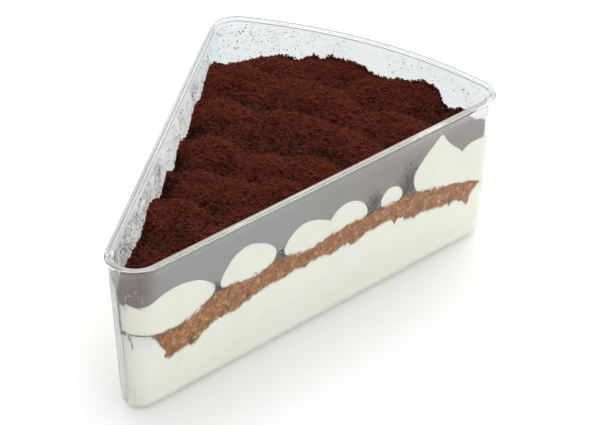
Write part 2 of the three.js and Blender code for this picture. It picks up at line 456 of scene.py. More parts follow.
class Surface:
    """Points and faces collected for one piece."""

    SAME_PLACE = 0.002 * MM
    NO_LENGTH = 0.001 * MM

    def __init__(self, wedge: Wedge) -> None:
        """Starts empty, and notes where the wedge's frame lies in the model's.

        Args:
            wedge: the tub's plan.
        """
        self.points: list[Array] = []
        self.faces: list[Array] = []
        self.count = 0
        low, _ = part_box("tub")
        self.shift = np.array([low.x / MM - (wedge.tip_x - wedge.tip_radius), 0.0, 0.0])

    def add(self, points: Array, faces: Array) -> None:
        """Adds points of shape (n, 3), and faces of 3 or 4 corners numbered among them.

        Args:
            points: the points' places.
            faces: the numbers of their corners.
        """
        self.points.append(points)
        self.faces.append(faces + self.count)
        self.count += len(points)

    def grid(self, rows: Array, closed: bool = True, flip: bool = False) -> None:
        """Adds a grid of quads.

        Args:
            rows: points of shape (rows, columns, 3).
            closed: whether the last column joins the first.
            flip: whether the faces look the other way.
        """
        height, width = rows.shape[:2]
        index = np.arange(height * width).reshape(height, width)
        right = np.roll(index, -1, axis=1)
        if not closed:
            index, right = index[:, :-1], right[:, :-1]
        quads = np.stack([index[:-1], right[:-1], right[1:], index[1:]], axis=-1).reshape(-1, 4)
        self.add(rows.reshape(-1, 3), quads[:, ::-1] if flip else quads)

    def copies(self, points: Array, faces: Array, places: Array) -> None:
        """Adds one small form at many places.

        Args:
            points: the form's points for each place, of shape (places, n, 3).
            faces: the form's faces, numbered among its own points.
            places: where each copy goes, of shape (places, 3).
        """
        count, size = points.shape[:2]
        moved = points + places[:, None, :]
        offsets = (np.arange(count) * size)[:, None, None]
        self.add(moved.reshape(-1, 3), (faces[None] + offsets).reshape(-1, faces.shape[1]))

    def build(self, name: str, material: Material, weld: bool = True) -> bpy.types.Object:
        """Makes the mesh object, shaded smooth.

        Args:
            name: the piece's name.
            material: its finish.
            weld: whether points that coincide are joined, and faces that vanish removed.

        Returns:
            The object, linked to the scene.
        """
        points = (np.concatenate(self.points) + self.shift) * MM
        loops = np.concatenate([f.ravel() for f in self.faces])
        totals = np.concatenate([np.full(len(f), f.shape[1]) for f in self.faces])
        mesh = bpy.data.meshes.new(name)
        mesh.vertices.add(len(points))
        mesh.vertices.foreach_set("co", points.astype(np.float32).ravel())
        mesh.loops.add(len(loops))
        mesh.loops.foreach_set("vertex_index", loops.astype(np.int32))
        mesh.polygons.add(len(totals))
        starts = np.concatenate([[0], np.cumsum(totals)[:-1]])
        mesh.polygons.foreach_set("loop_start", starts.astype(np.int32))
        mesh.update(calc_edges=True)
        mesh.validate()
        if weld:
            bm = bmesh.new()
            bm.from_mesh(mesh)
            bmesh.ops.remove_doubles(bm, verts=bm.verts, dist=self.SAME_PLACE)
            bmesh.ops.dissolve_degenerate(bm, edges=bm.edges, dist=self.NO_LENGTH)
            bmesh.ops.recalc_face_normals(bm, faces=bm.faces)
            bm.to_mesh(mesh)
            bm.free()
        mesh.polygons.foreach_set("use_smooth", np.full(len(mesh.polygons), True))
        mesh.materials.append(material)
        piece = bpy.data.objects.new(name, mesh)
        bpy.context.scene.collection.objects.link(piece)
        return piece


def settle(piece: bpy.types.Object, slot: Slot, *nodes: str) -> None:
    """Lets a piece ride on the object's body, and hides the CAD nodes that it stands for.

    Args:
        piece: the finished piece.
        slot: its material slot. Not used.
        nodes: the CAD nodes, if any.
    """
    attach(piece, BODY)
    if nodes:
        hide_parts(*nodes)
    log.info("%s: %d faces", piece.name, len(piece.data.polygons))


# ---- Shader building ----


def srgb(red: int, green: int, blue: int) -> tuple[float, float, float, float]:
    """A display colour from 0 to 255 as the linear colour that shaders use."""
    linear = (((c / 255 + 0.055) / 1.055) ** 2.4 if c > 10 else c / 255 / 12.92 for c in (red, green, blue))
    return (*linear, 1.0)


class Link:
    """A socket inside a node tree. Arithmetic on a number's link adds Math nodes."""

    def __init__(self, tree: "Tree", socket: bpy.types.NodeSocket) -> None:
        """Wraps a socket of a tree."""
        self.tree = tree
        self.socket = socket

    def math(self, operation: str, *others: "Link | float", swap: bool = False) -> "Link":
        """Adds a Math node on this number and others, in reverse order if swapped.

        Args:
            operation: the node's operation.
            others: the other operands.
            swap: whether the order is reversed.

        Returns:
            The node's result.
        """
        operands = [self, *others]
        if swap:
            operands.reverse()
        return self.tree.add("ShaderNodeMath", {"operation": operation}, dict(enumerate(operands)))

    def __add__(self, other: "Link | float") -> "Link":
        """self + other."""
        return self.math("ADD", other)

    __radd__ = __add__

    def __sub__(self, other: "Link | float") -> "Link":
        """self - other."""
        return self.math("SUBTRACT", other)

    def __rsub__(self, other: "Link | float") -> "Link":
        """other - self."""
        return self.math("SUBTRACT", other, swap=True)

    def __mul__(self, other: "Link | float") -> "Link":
        """self * other."""
        return self.math("MULTIPLY", other)

    __rmul__ = __mul__

    def __truediv__(self, other: "Link | float") -> "Link":
        """self / other."""
        return self.math("DIVIDE", other)

    def __rtruediv__(self, other: "Link | float") -> "Link":
        """other / self."""
        return self.math("DIVIDE", other, swap=True)

    def __pow__(self, other: "Link | float") -> "Link":
        """self to a power."""
        return self.math("POWER", other)

    def between(self, start: float, end: float) -> "Link":
        """0 at start, 1 at end, smooth in between and flat outside.

        Args:
            start: value that gives 0.
            end: value that gives 1.

        Returns:
            The mask.
        """
        settings = {"interpolation_type": "SMOOTHSTEP", "clamp": True}
        values = {"Value": self, "From Min": start, "From Max": end}
        return self.tree.add("ShaderNodeMapRange", settings, values)


class Tree:
    """A node tree while it is being written."""

    def __init__(self, tree: bpy.types.NodeTree) -> None:
        """Wraps a material's or the world's tree."""
        self.tree = tree

    def add(
        self,
        kind: str,
        settings: dict | None = None,
        values: dict | None = None,
        output: int | str = 0,
    ) -> Link:
        """Adds a node.

        Args:
            kind: the node's type.
            settings: its properties, set first. "stops" gives a colour ramp's (place, colour) pairs.
            values: numbers, colours or links for its inputs, by name or number.
            output: which output to give back.

        Returns:
            A link to that output.
        """
        node = self.tree.nodes.new(kind)
        for name, setting in (settings or {}).items():
            if name == "stops":
                self._stops(node.color_ramp, setting)
            else:
                setattr(node, name, setting)
        for key, value in (values or {}).items():
            if isinstance(value, Link):
                self.tree.links.new(value.socket, node.inputs[key])
            else:
                node.inputs[key].default_value = value
        return Link(self, node.outputs[output])

    @staticmethod
    def _stops(ramp: bpy.types.ColorRamp, stops: Sequence[tuple[float, tuple]]) -> None:
        """Gives a colour ramp its stops.

        Args:
            ramp: the node's ramp.
            stops: (place, colour) pairs in order.
        """
        while len(ramp.elements) < len(stops):
            ramp.elements.new(1.0)
        for element, (place, colour) in zip(ramp.elements, stops):
            element.position = place
            element.color = colour


class Shader(Tree):
    """A material's node tree."""

    def __init__(self, name: str) -> None:
        """Starts a material with only its output.

        Args:
            name: the material's name.
        """
        self.material = bpy.data.materials.new(name)
        self.material.use_nodes = True
        super().__init__(self.material.node_tree)
        self.tree.nodes.clear()
        self.output = self.tree.nodes.new("ShaderNodeOutputMaterial")

    def place(self) -> Link:
        """The point's place in the model's frame, in millimetres."""
        metres = self.add("ShaderNodeTexCoord", output="Object")
        return self.add("ShaderNodeVectorMath", {"operation": "SCALE"}, {0: metres, "Scale": 1.0 / MM})

    def axis(self, name: str) -> Link:
        """One coordinate of the place, in millimetres."""
        return self.add("ShaderNodeSeparateXYZ", values={0: self.place()}, output=name)

    def noise(self, size: float, detail: float = 2.0, roughness: float = 0.5) -> Link:
        """Noise from 0 to 1.

        Args:
            size: size of its largest bumps, in millimetres.
            detail: how many finer layers it has.
            roughness: strength of each finer layer.

        Returns:
            The noise's value.
        """
        values = {"Vector": self.place(), "Scale": 1.0 / size, "Detail": detail, "Roughness": roughness}
        return self.add("ShaderNodeTexNoise", values=values)

    def cells(self, size: float) -> Link:
        """Distance to the nearest of scattered points about a size apart, in cell sizes."""
        values = {"Vector": self.place(), "Scale": 1.0 / size}
        return self.add("ShaderNodeTexVoronoi", {"feature": "F1"}, values, "Distance")

    def mix(self, share: Link | float, first: Link | tuple, second: Link | tuple) -> Link:
        """Two colours mixed: the first where share is 0, the second where it is 1."""
        # A Mix node's colour inputs are its 6th and 7th, and its colour result is its 2nd output.
        return self.add("ShaderNodeMix", {"data_type": "RGBA"}, {0: share, 6: first, 7: second}, 2)

    def bump(self, height: Link, depth: float) -> Link:
        """A normal from a height between 0 and 1 that stands for a depth in millimetres."""
        values = {"Strength": 1.0, "Distance": depth * MM, "Height": height}
        return self.add("ShaderNodeBump", values=values)

    def principled(self, **values: Link | float | tuple) -> Link:
        """A Principled shader. Names are its inputs' names, with _ for spaces."""
        named = {key.replace("_", " "): value for key, value in values.items()}
        return self.add("ShaderNodeBsdfPrincipled", values=named)

    def blend_shaders(self, share: Link | float, first: Link, second: Link) -> Link:
        """A Mix Shader: the first where share is 0, the second where it is 1."""
        return self.add("ShaderNodeMixShader", values={0: share, 1: first, 2: second})

    def finish(self, surface: Link) -> Material:
        """Connects the surface shader and gives back the material."""
        self.tree.links.new(surface.socket, self.output.inputs["Surface"])
        return self.material


# ---- Finishes ----


@dataclass(frozen=True)
class ClearPlastic:
    """Thin clear plastic, a little wavy, with faint scuffs."""

    tint: tuple = (0.97, 0.985, 0.985, 1.0)
    ior: float = 1.5
    polish: float = 0.015
    scuffed: float = 0.05

    def material(self) -> Material:
        """Glass to the eye, and open to light on its way to what is inside.

        Returns:
            The material.
        """
        shader = Shader("clear_plastic")
        rub = shader.noise(1.4, 5.0, 0.7).between(0.60, 0.74)
        waves = shader.noise(14.0, 1.0)
        plastic = shader.principled(
            Base_Color=self.tint,
            Roughness=self.polish + self.scuffed * rub,
            IOR=self.ior,
            Transmission_Weight=1.0,
            Normal=shader.bump(waves, 0.012),
        )
        clear = shader.add("ShaderNodeBsdfTransparent", values={"Color": self.tint})
        for ray in ("Is Diffuse Ray", "Is Shadow Ray"):
            plastic = shader.blend_shaders(shader.add("ShaderNodeLightPath", output=ray), plastic, clear)
        return shader.finish(plastic)


@dataclass(frozen=True)
class Cream:
    """Whipped cream: soft, moist, faintly mottled, with pinprick bubbles whose pits carry painted shade."""

    name: str
    light: tuple
    shade: tuple
    # Colour of the painted shade in the bubbles' pits.
    bubble_shade: tuple = srgb(176, 170, 140)
    roughness: float = 0.42

    def material(self) -> Material:
        """A milky surface that light soaks into.

        Returns:
            The material.
        """
        shader = Shader(self.name)
        clouds = shader.noise(6.0, 3.0)
        bubbles = 1.0 - shader.cells(1.9).between(0.05, 0.13)
        colour = shader.mix(clouds.between(0.3, 0.75), self.light, self.shade)
        # Painted shade: the bubbles' pits are darkened in colour, as well as sunk by the bump below.
        colour = shader.mix(bubbles * 0.10, colour, self.bubble_shade)
        height = shader.noise(1.6, 4.0, 0.6) - bubbles * 0.5
        return shader.finish(
            shader.principled(
                Base_Color=colour,
                Roughness=self.roughness + 0.12 * clouds,
                Subsurface_Weight=0.35,
                Subsurface_Radius=(1.0, 0.85, 0.6),
                Subsurface_Scale=1.2 * MM,
                Specular_IOR_Level=0.35,
                Normal=shader.bump(height, 0.05),
            )
        )


@dataclass(frozen=True)
class Crumb:
    """Sponge soaked with coffee: open crumb with tan flecks, and painted shade in its pores."""

    dark: tuple = srgb(98, 56, 26)
    middle: tuple = srgb(142, 87, 40)
    orange: tuple = srgb(172, 108, 52)
    pale: tuple = srgb(216, 164, 106)

    def material(self) -> Material:
        """Mottled browns, pulled darker in the pores as painted shade.

        Returns:
            The material.
        """
        shader = Shader("soaked_sponge")
        coarse = shader.noise(1.7, 3.0, 0.6)
        fine = shader.noise(0.75, 4.0, 0.85)
        stops = [(0.385, self.dark), (0.455, self.middle), (0.53, self.orange), (0.60, self.pale)]
        colour = shader.add("ShaderNodeValToRGB", {"stops": stops}, {0: coarse * 0.38 + fine * 0.62})
        soaked = shader.noise(3.8, 2.0).between(0.50, 0.62)
        colour = shader.mix(soaked * 0.45, colour, self.middle)
        pores = 1.0 - shader.cells(0.9).between(0.08, 0.24)
        # Painted shade: the pores' colour is pulled towards the darkest brown, as well as sunk by the bump.
        colour = shader.mix(pores * 0.35, colour, self.dark)
        return shader.finish(
            shader.principled(
                Base_Color=colour,
                Roughness=0.62 + 0.25 * fine,
                Specular_IOR_Level=0.2,
                Normal=shader.bump(coarse + fine - pores, 0.22),
            )
        )


@dataclass(frozen=True)
class Powder:
    """Cocoa: dry, dark and fully matt, a little uneven in tone, with painted light that makes its crests
    lighter.
    """

    name: str
    dark: tuple
    light: tuple
    # Heights between which the painted light rises from none in the valleys to full on the crests.
    valley: float = 26.0
    crest: float = 31.5
    sheen: tuple = (0.62, 0.36, 0.27, 1.0)

    def material(self) -> Material:
        """Fine grain over soft patches, with painted light that makes the crests lighter and the valleys
        darker.

        Returns:
            The material.
        """
        shader = Shader(self.name)
        patches = shader.noise(4.5, 3.0, 0.55)
        grain = shader.noise(0.85, 4.0, 0.85)
        # Painted light: the colour is lighter the higher the surface stands, so the crests look lit and the
        # valleys shaded.
        crest = shader.axis("Z").between(self.valley, self.crest)
        tone = (patches * 0.16 + grain * 0.68 + crest * 0.16).between(0.43, 0.54)
        return shader.finish(
            shader.principled(
                Base_Color=shader.mix(tone, self.dark, self.light),
                Roughness=1.0,
                Specular_IOR_Level=0.12,
                Sheen_Weight=0.05,
                Sheen_Roughness=0.7,
                Sheen_Tint=self.sheen,
                Normal=shader.bump(grain, 0.6),
            )
        )


@dataclass(frozen=True)
class Bloom:
    """The dull grey bloom inside the front wall, browner round the tip and where damp cocoa touches."""

    tone: tuple = (0.270, 0.262, 0.250, 1.0)
    tip_tone: tuple = (0.172, 0.128, 0.108, 1.0)
    back_tone: tuple = (0.226, 0.190, 0.172, 1.0)
    damp_tone: tuple = (0.135, 0.104, 0.092, 1.0)
    mottle_tone: tuple = (0.15, 0.11, 0.095, 1.0)
    cover: float = 0.94
    # Damp patches: x, height, half width, half height, strength.
    damp: tuple = (
        (80.6, 24.6, 3.4, 4.2, 1.0),
        (91.2, 24.4, 3.6, 4.6, 1.0),
        (37.2, 22.8, 2.4, 1.4, 0.8),
        (54.2, 22.6, 2.2, 1.5, 0.8),
        (90.5, 27.9, 3.6, 3.0, 0.6),
        (104.6, 34.2, 2.6, 2.2, 0.35),
    )

    def material(self, wedge: Wedge, shift: float) -> Material:
        """A nearly opaque film whose tone changes over the wall.

        Args:
            wedge: the tub's plan.
            shift: x of the virtual point in the model's frame.

        Returns:
            The film's material.
        """
        shader = Shader("wall_bloom")
        x = shader.axis("X") - shift
        z = shader.axis("Z")
        clouds = shader.noise(9.0, 3.0, 0.5)
        on_tip = 1.0 - x.between(wedge.tip_x - 4.2, wedge.tip_x + 1.2)
        colour = shader.mix(x.between(52.0, 88.0), self.tone, self.back_tone)
        colour = shader.mix(on_tip, colour, self.tip_tone)
        mottle = shader.noise(2.2, 4.0, 0.65).between(0.35, 0.7)
        colour = shader.mix(mottle * on_tip * 0.35, colour, self.mottle_tone)
        speckle = shader.noise(0.85, 2.0, 0.75)
        for at, height, wide, high, strength in self.damp:
            across, up = (x - at) / wide, (z - height) / high
            near = 1.0 - (across * across + up * up) ** 0.5 + 3.6 * (speckle - 0.52)
            colour = shader.mix(near.between(0.15, 0.62) * strength, colour, self.damp_tone)
        return shader.finish(
            shader.principled(
                Base_Color=colour,
                Roughness=0.7 + 0.2 * clouds,
                Specular_IOR_Level=0.15,
                Alpha=self.cover * (0.97 + 0.05 * clouds),
            )
        )


@dataclass(frozen=True)
class Veil:
    """The faint bluish veil of dust and damp on the other walls."""

    tone: tuple = (0.70, 0.90, 0.92, 1.0)
    far_tone: tuple = (1.0, 1.0, 0.97, 1.0)
    dusty_tone: tuple = (0.70, 0.70, 0.68, 1.0)
    cover: float = 0.36
    dusty_cover: float = 0.24

    def material(self, wedge: Wedge, shift: float) -> Material:
        """A thin film, greyer on the far side.

        Args:
            wedge: the tub's plan.
            shift: x of the virtual point in the model's frame.

        Returns:
            The film's material.
        """
        shader = Shader("wall_veil")
        x = shader.axis("X") - shift
        far = (shader.axis("Y") - x * math.tan(wedge.half_angle)).between(-7.0, -5.0)
        far = far * (1.0 - x.between(84.0, 104.0))
        clouds = shader.noise(8.0, 4.0, 0.6)
        colour = shader.mix(far, self.tone, self.far_tone)
        # Dust near the tip makes the veil greyer and thicker.
        dust_and_rim_light = (1.0 - x.between(20.0, 46.0)) * (0.6 + 0.8 * shader.noise(1.3, 4.0, 0.7))
        colour = shader.mix(dust_and_rim_light, colour, self.dusty_tone)
        film = shader.principled(
            Base_Color=colour,
            Roughness=0.8,
            Specular_IOR_Level=0.1,
            Alpha=(self.cover + self.dusty_cover * dust_and_rim_light) * (0.75 + 0.5 * clouds),
        )
        return shader.finish(film)


@dataclass(frozen=True)
class PaintedFilm:
    """A pale or grey film of painted light and shade: painted shade on the tip's far half, and painted
    refraction in the rolled rim.
    """

    name: str
    tone: tuple
    cover: float
    fade: tuple[float, float] | None = None

    def material(self, shift: float) -> Material:
        """A film whose cover varies a little, and runs out between two places along X if it fades.

        Args:
            shift: x of the virtual point in the model's frame.

        Returns:
            The material.
        """
        shader = Shader(self.name)
        clouds = shader.noise(5.0, 3.0, 0.6)
        cover = self.cover * (0.8 + 0.4 * clouds)
        if self.fade is not None:
            start, end = self.fade
            cover = cover * (1.0 - shader.axis("X").between(start + shift, end + shift))
        film = shader.principled(Base_Color=self.tone, Roughness=0.7, Specular_IOR_Level=0.2, Alpha=cover)
        return shader.finish(film)


# ---- The tub ----


@dataclass
class Tub:
    """The clear tub: one wall all round, a rounded foot, a flat floor and a small rolled rim."""

    wedge: Wedge
    spacing: float = 0.8
    foot_steps: int = 10
    edge_steps: int = 5
    wall_rows: int = 8
    floor_rings: int = 8
    floor_centre: float = 45.0

    def profile(self) -> list[tuple[float, float]]:
        """(inset, height) once over the section, from the foot outside to the floor inside.

        Returns:
            The points of the section, in order.
        """
        w = self.wedge
        under = w.height - w.lip_height
        neck = under - w.lip_out / 2
        outside = self._foot(0.0, w.foot_radius, 0.0)
        rise = np.linspace(outside[-1][1], neck, self.wall_rows + 1)[1:]
        outside += [(float(w.outer(z)), float(z)) for z in rise]
        inside_top = w.lip_out + w.wall
        lip = [
            *self._round(w.lip_edge, under + w.lip_edge, -90.0, -180.0),
            *self._round(w.lip_edge, w.height - w.lip_edge, 180.0, 90.0),
            *self._round(inside_top - w.lip_edge, w.height - w.lip_edge, 90.0, 0.0),
        ]
        inside = self._foot(w.wall, w.inner_foot, w.floor)[::-1]
        fall = np.linspace(w.height - 2 * w.lip_edge, inside[0][1], self.wall_rows + 1)[:-1]
        walls = [(float(w.outer(z) + w.wall), float(z)) for z in fall]
        return [*outside, *lip, *walls, *inside]

    def _foot(self, deeper: float, radius: float, floor: float) -> list[tuple[float, float]]:
        """A rounded foot, from the flat up to the wall, deeper in than the outside by a distance.

        Args:
            deeper: the distance.
            radius: radius of the rounding.
            floor: height of the flat.

        Returns:
            Its points, as (inset, height).
        """
        turns = np.linspace(0.0, math.pi / 2, self.foot_steps + 1)
        heights = floor + radius * (1.0 - np.cos(turns))
        insets = [float(self.wedge.outer(z) + deeper) for z in heights]
        return [(i + radius * (1.0 - math.sin(t)), float(z)) for i, t, z in zip(insets, turns, heights)]

    def _round(self, inset: float, z: float, start: float, end: float) -> list[tuple[float, float]]:
        """A rounded edge of the lip, with angles in degrees from the inward direction.

        Args:
            inset: the centre's inset.
            z: the centre's height.
            start: first angle.
            end: last angle.

        Returns:
            Its points, as (inset, height).
        """
        radius = self.wedge.lip_edge
        turns = np.linspace(math.radians(start), math.radians(end), self.edge_steps + 1)
        return [(inset + radius * math.cos(t), z + radius * math.sin(t)) for t in turns]

    def build(self) -> bpy.types.Object:
        """Lofts the section round the plan, and closes the floor on both faces.

        Returns:
            The tub.
        """
        outline = self.wedge.trace(self.spacing)
        rings = [outline.ring(inset, z) for inset, z in self.profile()]
        centre = np.array([self.wedge.tip_x + self.floor_centre, 0.0])
        below, above = rings[0], rings[-1]
        for step in range(1, self.floor_rings + 1):
            keep = 1.0 - step / self.floor_rings
            for ring, end in ((below, 0), (above, len(rings))):
                shrunk = ring.copy()
                shrunk[:, :2] = centre + (ring[:, :2] - centre) * keep
                rings.insert(end, shrunk)
        surface = Surface(self.wedge)
        surface.grid(np.array(rings))
        tub = surface.build("clear_tub", ClearPlastic().material())
        settle(tub, Slot.CLEAR_PLASTIC, "tub")
        return tub


# ---- The filling ----


def tip_release(station: Array) -> Array:
    """How far the filling stands back from the wall on the far side of the tip, by station."""
    deepest = 0.42
    return deepest * smoothstep(station, 16.15, 16.6) * (1.0 - smoothstep(station, 22.0, 27.0))


@dataclass
class Layers:
    """Heights of the filling's layers where they meet the wall, by station."""

    wedge: Wedge
    top_line: Pairs = (
        (15.0, 19.7), (17.4, 19.5), (19.7, 19.1), (21.9, 18.9), (27.7, 18.7), (30.5, 19.1), (34.7, 21.0),
        (38.7, 21.8), (47.2, 21.4), (51.0, 21.3), (55.0, 22.1), (60.0, 21.4), (66.0, 20.9), (72.0, 21.7),
        (82.5, 21.8), (86.5, 22.0), (92.6, 21.5), (97.0, 21.3), (102.2, 19.9), (109.9, 18.1), (117.7, 15.9),
        (126.0, 13.6), (140.0, 12.2), (157.0, 11.6),
    )
    under_line: Pairs = (
        (15.0, 13.5), (21.0, 12.8), (25.2, 11.9), (30.0, 12.4), (34.5, 13.5), (39.0, 14.5), (44.3, 15.3),
        (48.7, 16.4), (58.0, 17.0), (63.8, 17.1), (70.3, 16.7), (76.0, 16.7), (87.9, 17.0), (91.6, 16.4),
        (96.8, 15.3), (105.0, 13.8), (110.3, 12.9), (114.4, 10.9), (119.0, 10.0), (126.0, 9.2),
        (140.0, 8.0), (157.0, 7.6),
    )
    tip_end: Pairs = ((11.0, 22.4), (12.5, 23.1), (13.8, 23.2), (15.5, 22.3), (17.5, 21.2), (18.8, 20.0))
    corner_end: Pairs = (
        (9.5, 113.8), (10.8, 114.9), (12.8, 115.3), (13.9, 116.3), (15.0, 118.3), (16.5, 119.6),
    )
    back_start: float = 121.5
    far_change: float = 0.7
    tooth: float = 0.55
    long_tooth: float = 0.75
    top_lift: float = 0.12
    top_tooth: float = 0.34

    def __post_init__(self) -> None:
        """Turns the lists of points into curves."""
        self.noise = Unevenness(11)
        self.tear = Unevenness(21)
        self._top = curve_through(self.top_line)
        self._under = curve_through(self.under_line)
        self._tip_end = curve_through(self.tip_end)
        self._corner_end = curve_through(self.corner_end)

    def _far(self, station: Array, side: Array, row: float) -> Array:
        """How much a line differs on the far side, nothing on the tip's and the back's middle line.

        Args:
            station: places on the wall.
            side: -1 in front, 1 on the far side.
            row: the line's own row of the noise.

        Returns:
            The change in height at each place.
        """
        middle = smoothstep(station, 17.0, 26.0) * (1.0 - smoothstep(station, 135.0, 155.0))
        change = self.noise.at(station, np.full_like(station, row), 14.0, 2)
        return np.where(side > 0, self.far_change * change * middle, 0.0)

    def top(self, station: Array, side: Array) -> Array:
        """Height of the sponge's top at the wall."""
        return self._top(station) + self._far(station, side, 3.0)

    def under(self, station: Array, side: Array) -> Array:
        """Height of the sponge's underside at the wall."""
        return self._under(station) + self._far(station, side, 57.0)

    def contact(self, station: Array, z: Array) -> Array:
        """1 where the sponge touches the wall, 0 where cream has come round its end or its corner.

        Args:
            station: places on the wall.
            z: their height.

        Returns:
            A value from 0 to 1 for each place.
        """
        tip = smoothstep(station - self._tip_end(z), -0.1, 0.35)
        corner = 1.0 - smoothstep(station - self._corner_end(z), -0.1, 0.5)
        back = smoothstep(station, self.back_start, self.back_start + 1.5)
        return tip * np.maximum(corner, back)

    def torn_under(self, run: Array, station: Array, side: Array) -> Array:
        """Height of the sponge's torn underside at the wall, by distance along the rim too.

        Args:
            run: distance along the rim.
            station: places on the wall.
            side: -1 in front, 1 on the far side.

        Returns:
            The height at each place.
        """
        edge = self.tear.at(run, np.zeros_like(run), 3.1, 4, 0.62)
        teeth = np.maximum(self.tear.at(run, np.full_like(run, 40.0), 1.5, 2), 0.0) ** 2
        return self.under(station, side) - self.tooth * edge - self.long_tooth * teeth

    def torn_top(self, run: Array, station: Array, side: Array) -> Array:
        """Height of the sponge's rough top at the wall, by distance along the rim too.

        Args:
            run: distance along the rim.
            station: places on the wall.
            side: -1 in front, 1 on the far side.

        Returns:
            The height at each place.
        """
        edge = self.tear.at(run, np.full_like(run, 90.0), 1.4, 4, 0.7)
        return self.top(station, side) + self.top_lift + self.top_tooth * edge

    def inland(self, line: StationLine, lift: float) -> HeightByX:
        """Carries a line of the front wall across the slice.

        Args:
            line: top or under.
            lift: how much higher it lies inside the slice.

        Returns:
            A function that gives the height at any x.
        """

        def height(x: Array) -> Array:
            """The height at each x."""
            return line(x / math.cos(self.wedge.half_angle), np.full_like(x, Side.FRONT.value)) + lift

        return height

    def release(self, outline: Outline) -> Array:
        """How far the filling stands back from the wall beside the tip."""
        far = outline.side > 0
        return np.where(far, tip_release(outline.station), 0.0)


@dataclass
class Web:
    """Closes a ring of wall points with a cap that reaches in to the middle of the slice."""

    centre: tuple[float, float] = (82.0, 0.0)
    keeps: tuple[float, ...] = (0.97, 0.9, 0.75, 0.5, 0.25, 0.0)

    def rings(self, ring: Array, height: HeightByX | None = None) -> list[Array]:
        """Ever smaller copies of a ring, at their own height or at a height by x.

        Args:
            ring: points on the wall.
            height: the cap's height by x, if it has its own.

        Returns:
            The rings, from the wall inwards.
        """
        rings = []
        for keep in self.keeps:
            inner = ring.copy()
            inner[:, :2] = self.centre + (ring[:, :2] - self.centre) * keep
            if height is not None:
                inner[:, 2] = height(inner[:, 0])
            rings.append(inner)
        return rings


@dataclass
class BaseCream:
    """The thick bed of cream that fills the tub's foot and comes round the sponge's ends."""

    layers: Layers
    spacing: float = 0.5
    rows: int = 44
    press: float = 0.12
    foot_press: float = 0.35
    loose: float = 0.20
    under_floor: float = 0.5
    overlap: float = 0.55
    drop: float = 0.90
    set_back: float = 1.4
    light: tuple = srgb(249, 250, 235)
    shade: tuple = srgb(246, 247, 230)

    def build(self) -> bpy.types.Object:
        """Strips up the wall, with a flat underside and a hidden top.

        The cream overlaps the sponge's line at the tip, drops below it further on, and stands back
        behind the sponge. Round the nose of the tip it lies loose of the plastic.

        Returns:
            The cream.
        """
        layers, wedge = self.layers, self.layers.wedge
        outline = wedge.trace(self.spacing)
        station, side = outline.station, outline.side
        floor = wedge.floor - self.under_floor
        top = layers.top(station, side) + self.overlap - self.drop * smoothstep(station, 20.5, 24.0)
        under = layers.under(station, side)
        angle = np.degrees(np.arctan2(outline.normals[:, 1], outline.normals[:, 0])) % 360.0
        loose = np.where(station < 30.0, 1.0 - smoothstep(angle, 191.0, 194.0), 0.0) * (angle > 150.0)
        release = np.maximum(layers.release(outline), self.loose * loose)
        rings = []
        for t in np.linspace(0.0, 1.0, self.rows) ** 1.1:
            z = floor + (top - floor) * t
            hidden = smoothstep(z - under, 1.5, 2.3) * layers.contact(station, z)
            press = self.press + self.foot_press * (1.0 - smoothstep(z, 1.5, 4.5))
            rings.append(outline.ring(wedge.inner(z) - press + release + self.set_back * hidden, z))
        web = Web()
        above = web.rings(rings[-1], layers.inland(layers.under, -0.5))
        rings = [*reversed(web.rings(rings[0])), *rings, *above]
        surface = Surface(wedge)
        surface.grid(np.array(rings))
        cream = surface.build("base_cream", Cream("base_cream", self.light, self.shade).material())
        settle(cream, Slot.BASE_CREAM, "cream_base")
        return cream


@dataclass
class Sponge:
    """The soaked sponge: a ragged band of open crumb."""

    layers: Layers
    spacing: float = 0.26
    rows: int = 26
    press: float = 0.21
    pore_depth: float = 0.17
    pore_size: float = 1.15
    bevel: float = 0.35
    set_back: float = 2.2

    def build(self) -> bpy.types.Object:
        """A band whose edges are torn, with pores sunk into it where it faces the wall.

        Returns:
            The sponge.
        """
        layers, wedge = self.layers, self.layers.wedge
        outline = wedge.trace(self.spacing)
        station, side = outline.station, outline.side
        pitted = Unevenness(22)
        run = outline.run
        under = layers.torn_under(run, station, side)
        top = layers.torn_top(run, station, side)
        rings = []
        for t in np.linspace(0.0, 1.0, self.rows):
            z = under + (top - under) * t
            pits = smoothstep(pitted.at(run, z * 1.25, self.pore_size, 3, 0.6), 0.18, 0.75)
            pores = pits * smoothstep(z - under, 2.2, 3.4)
            bevel = self.bevel * (smoothstep(t, 0.95, 1.0) + smoothstep(1 - t, 0.95, 1.0))
            back = self.pore_depth * pores + self.set_back * (1.0 - layers.contact(station, z)) + bevel
            rings.append(outline.ring(wedge.inner(z) - self.press + back, z))
        web = Web()
        below = web.rings(rings[0], layers.inland(layers.under, 0.0))
        above = web.rings(rings[-1], layers.inland(layers.top, -0.3))
        surface = Surface(wedge)
        surface.grid(np.array([*reversed(below), *rings, *above]))
        sponge = surface.build("soaked_sponge", Crumb().material())
        settle(sponge, Slot.SPONGE, "sponge")
        return sponge


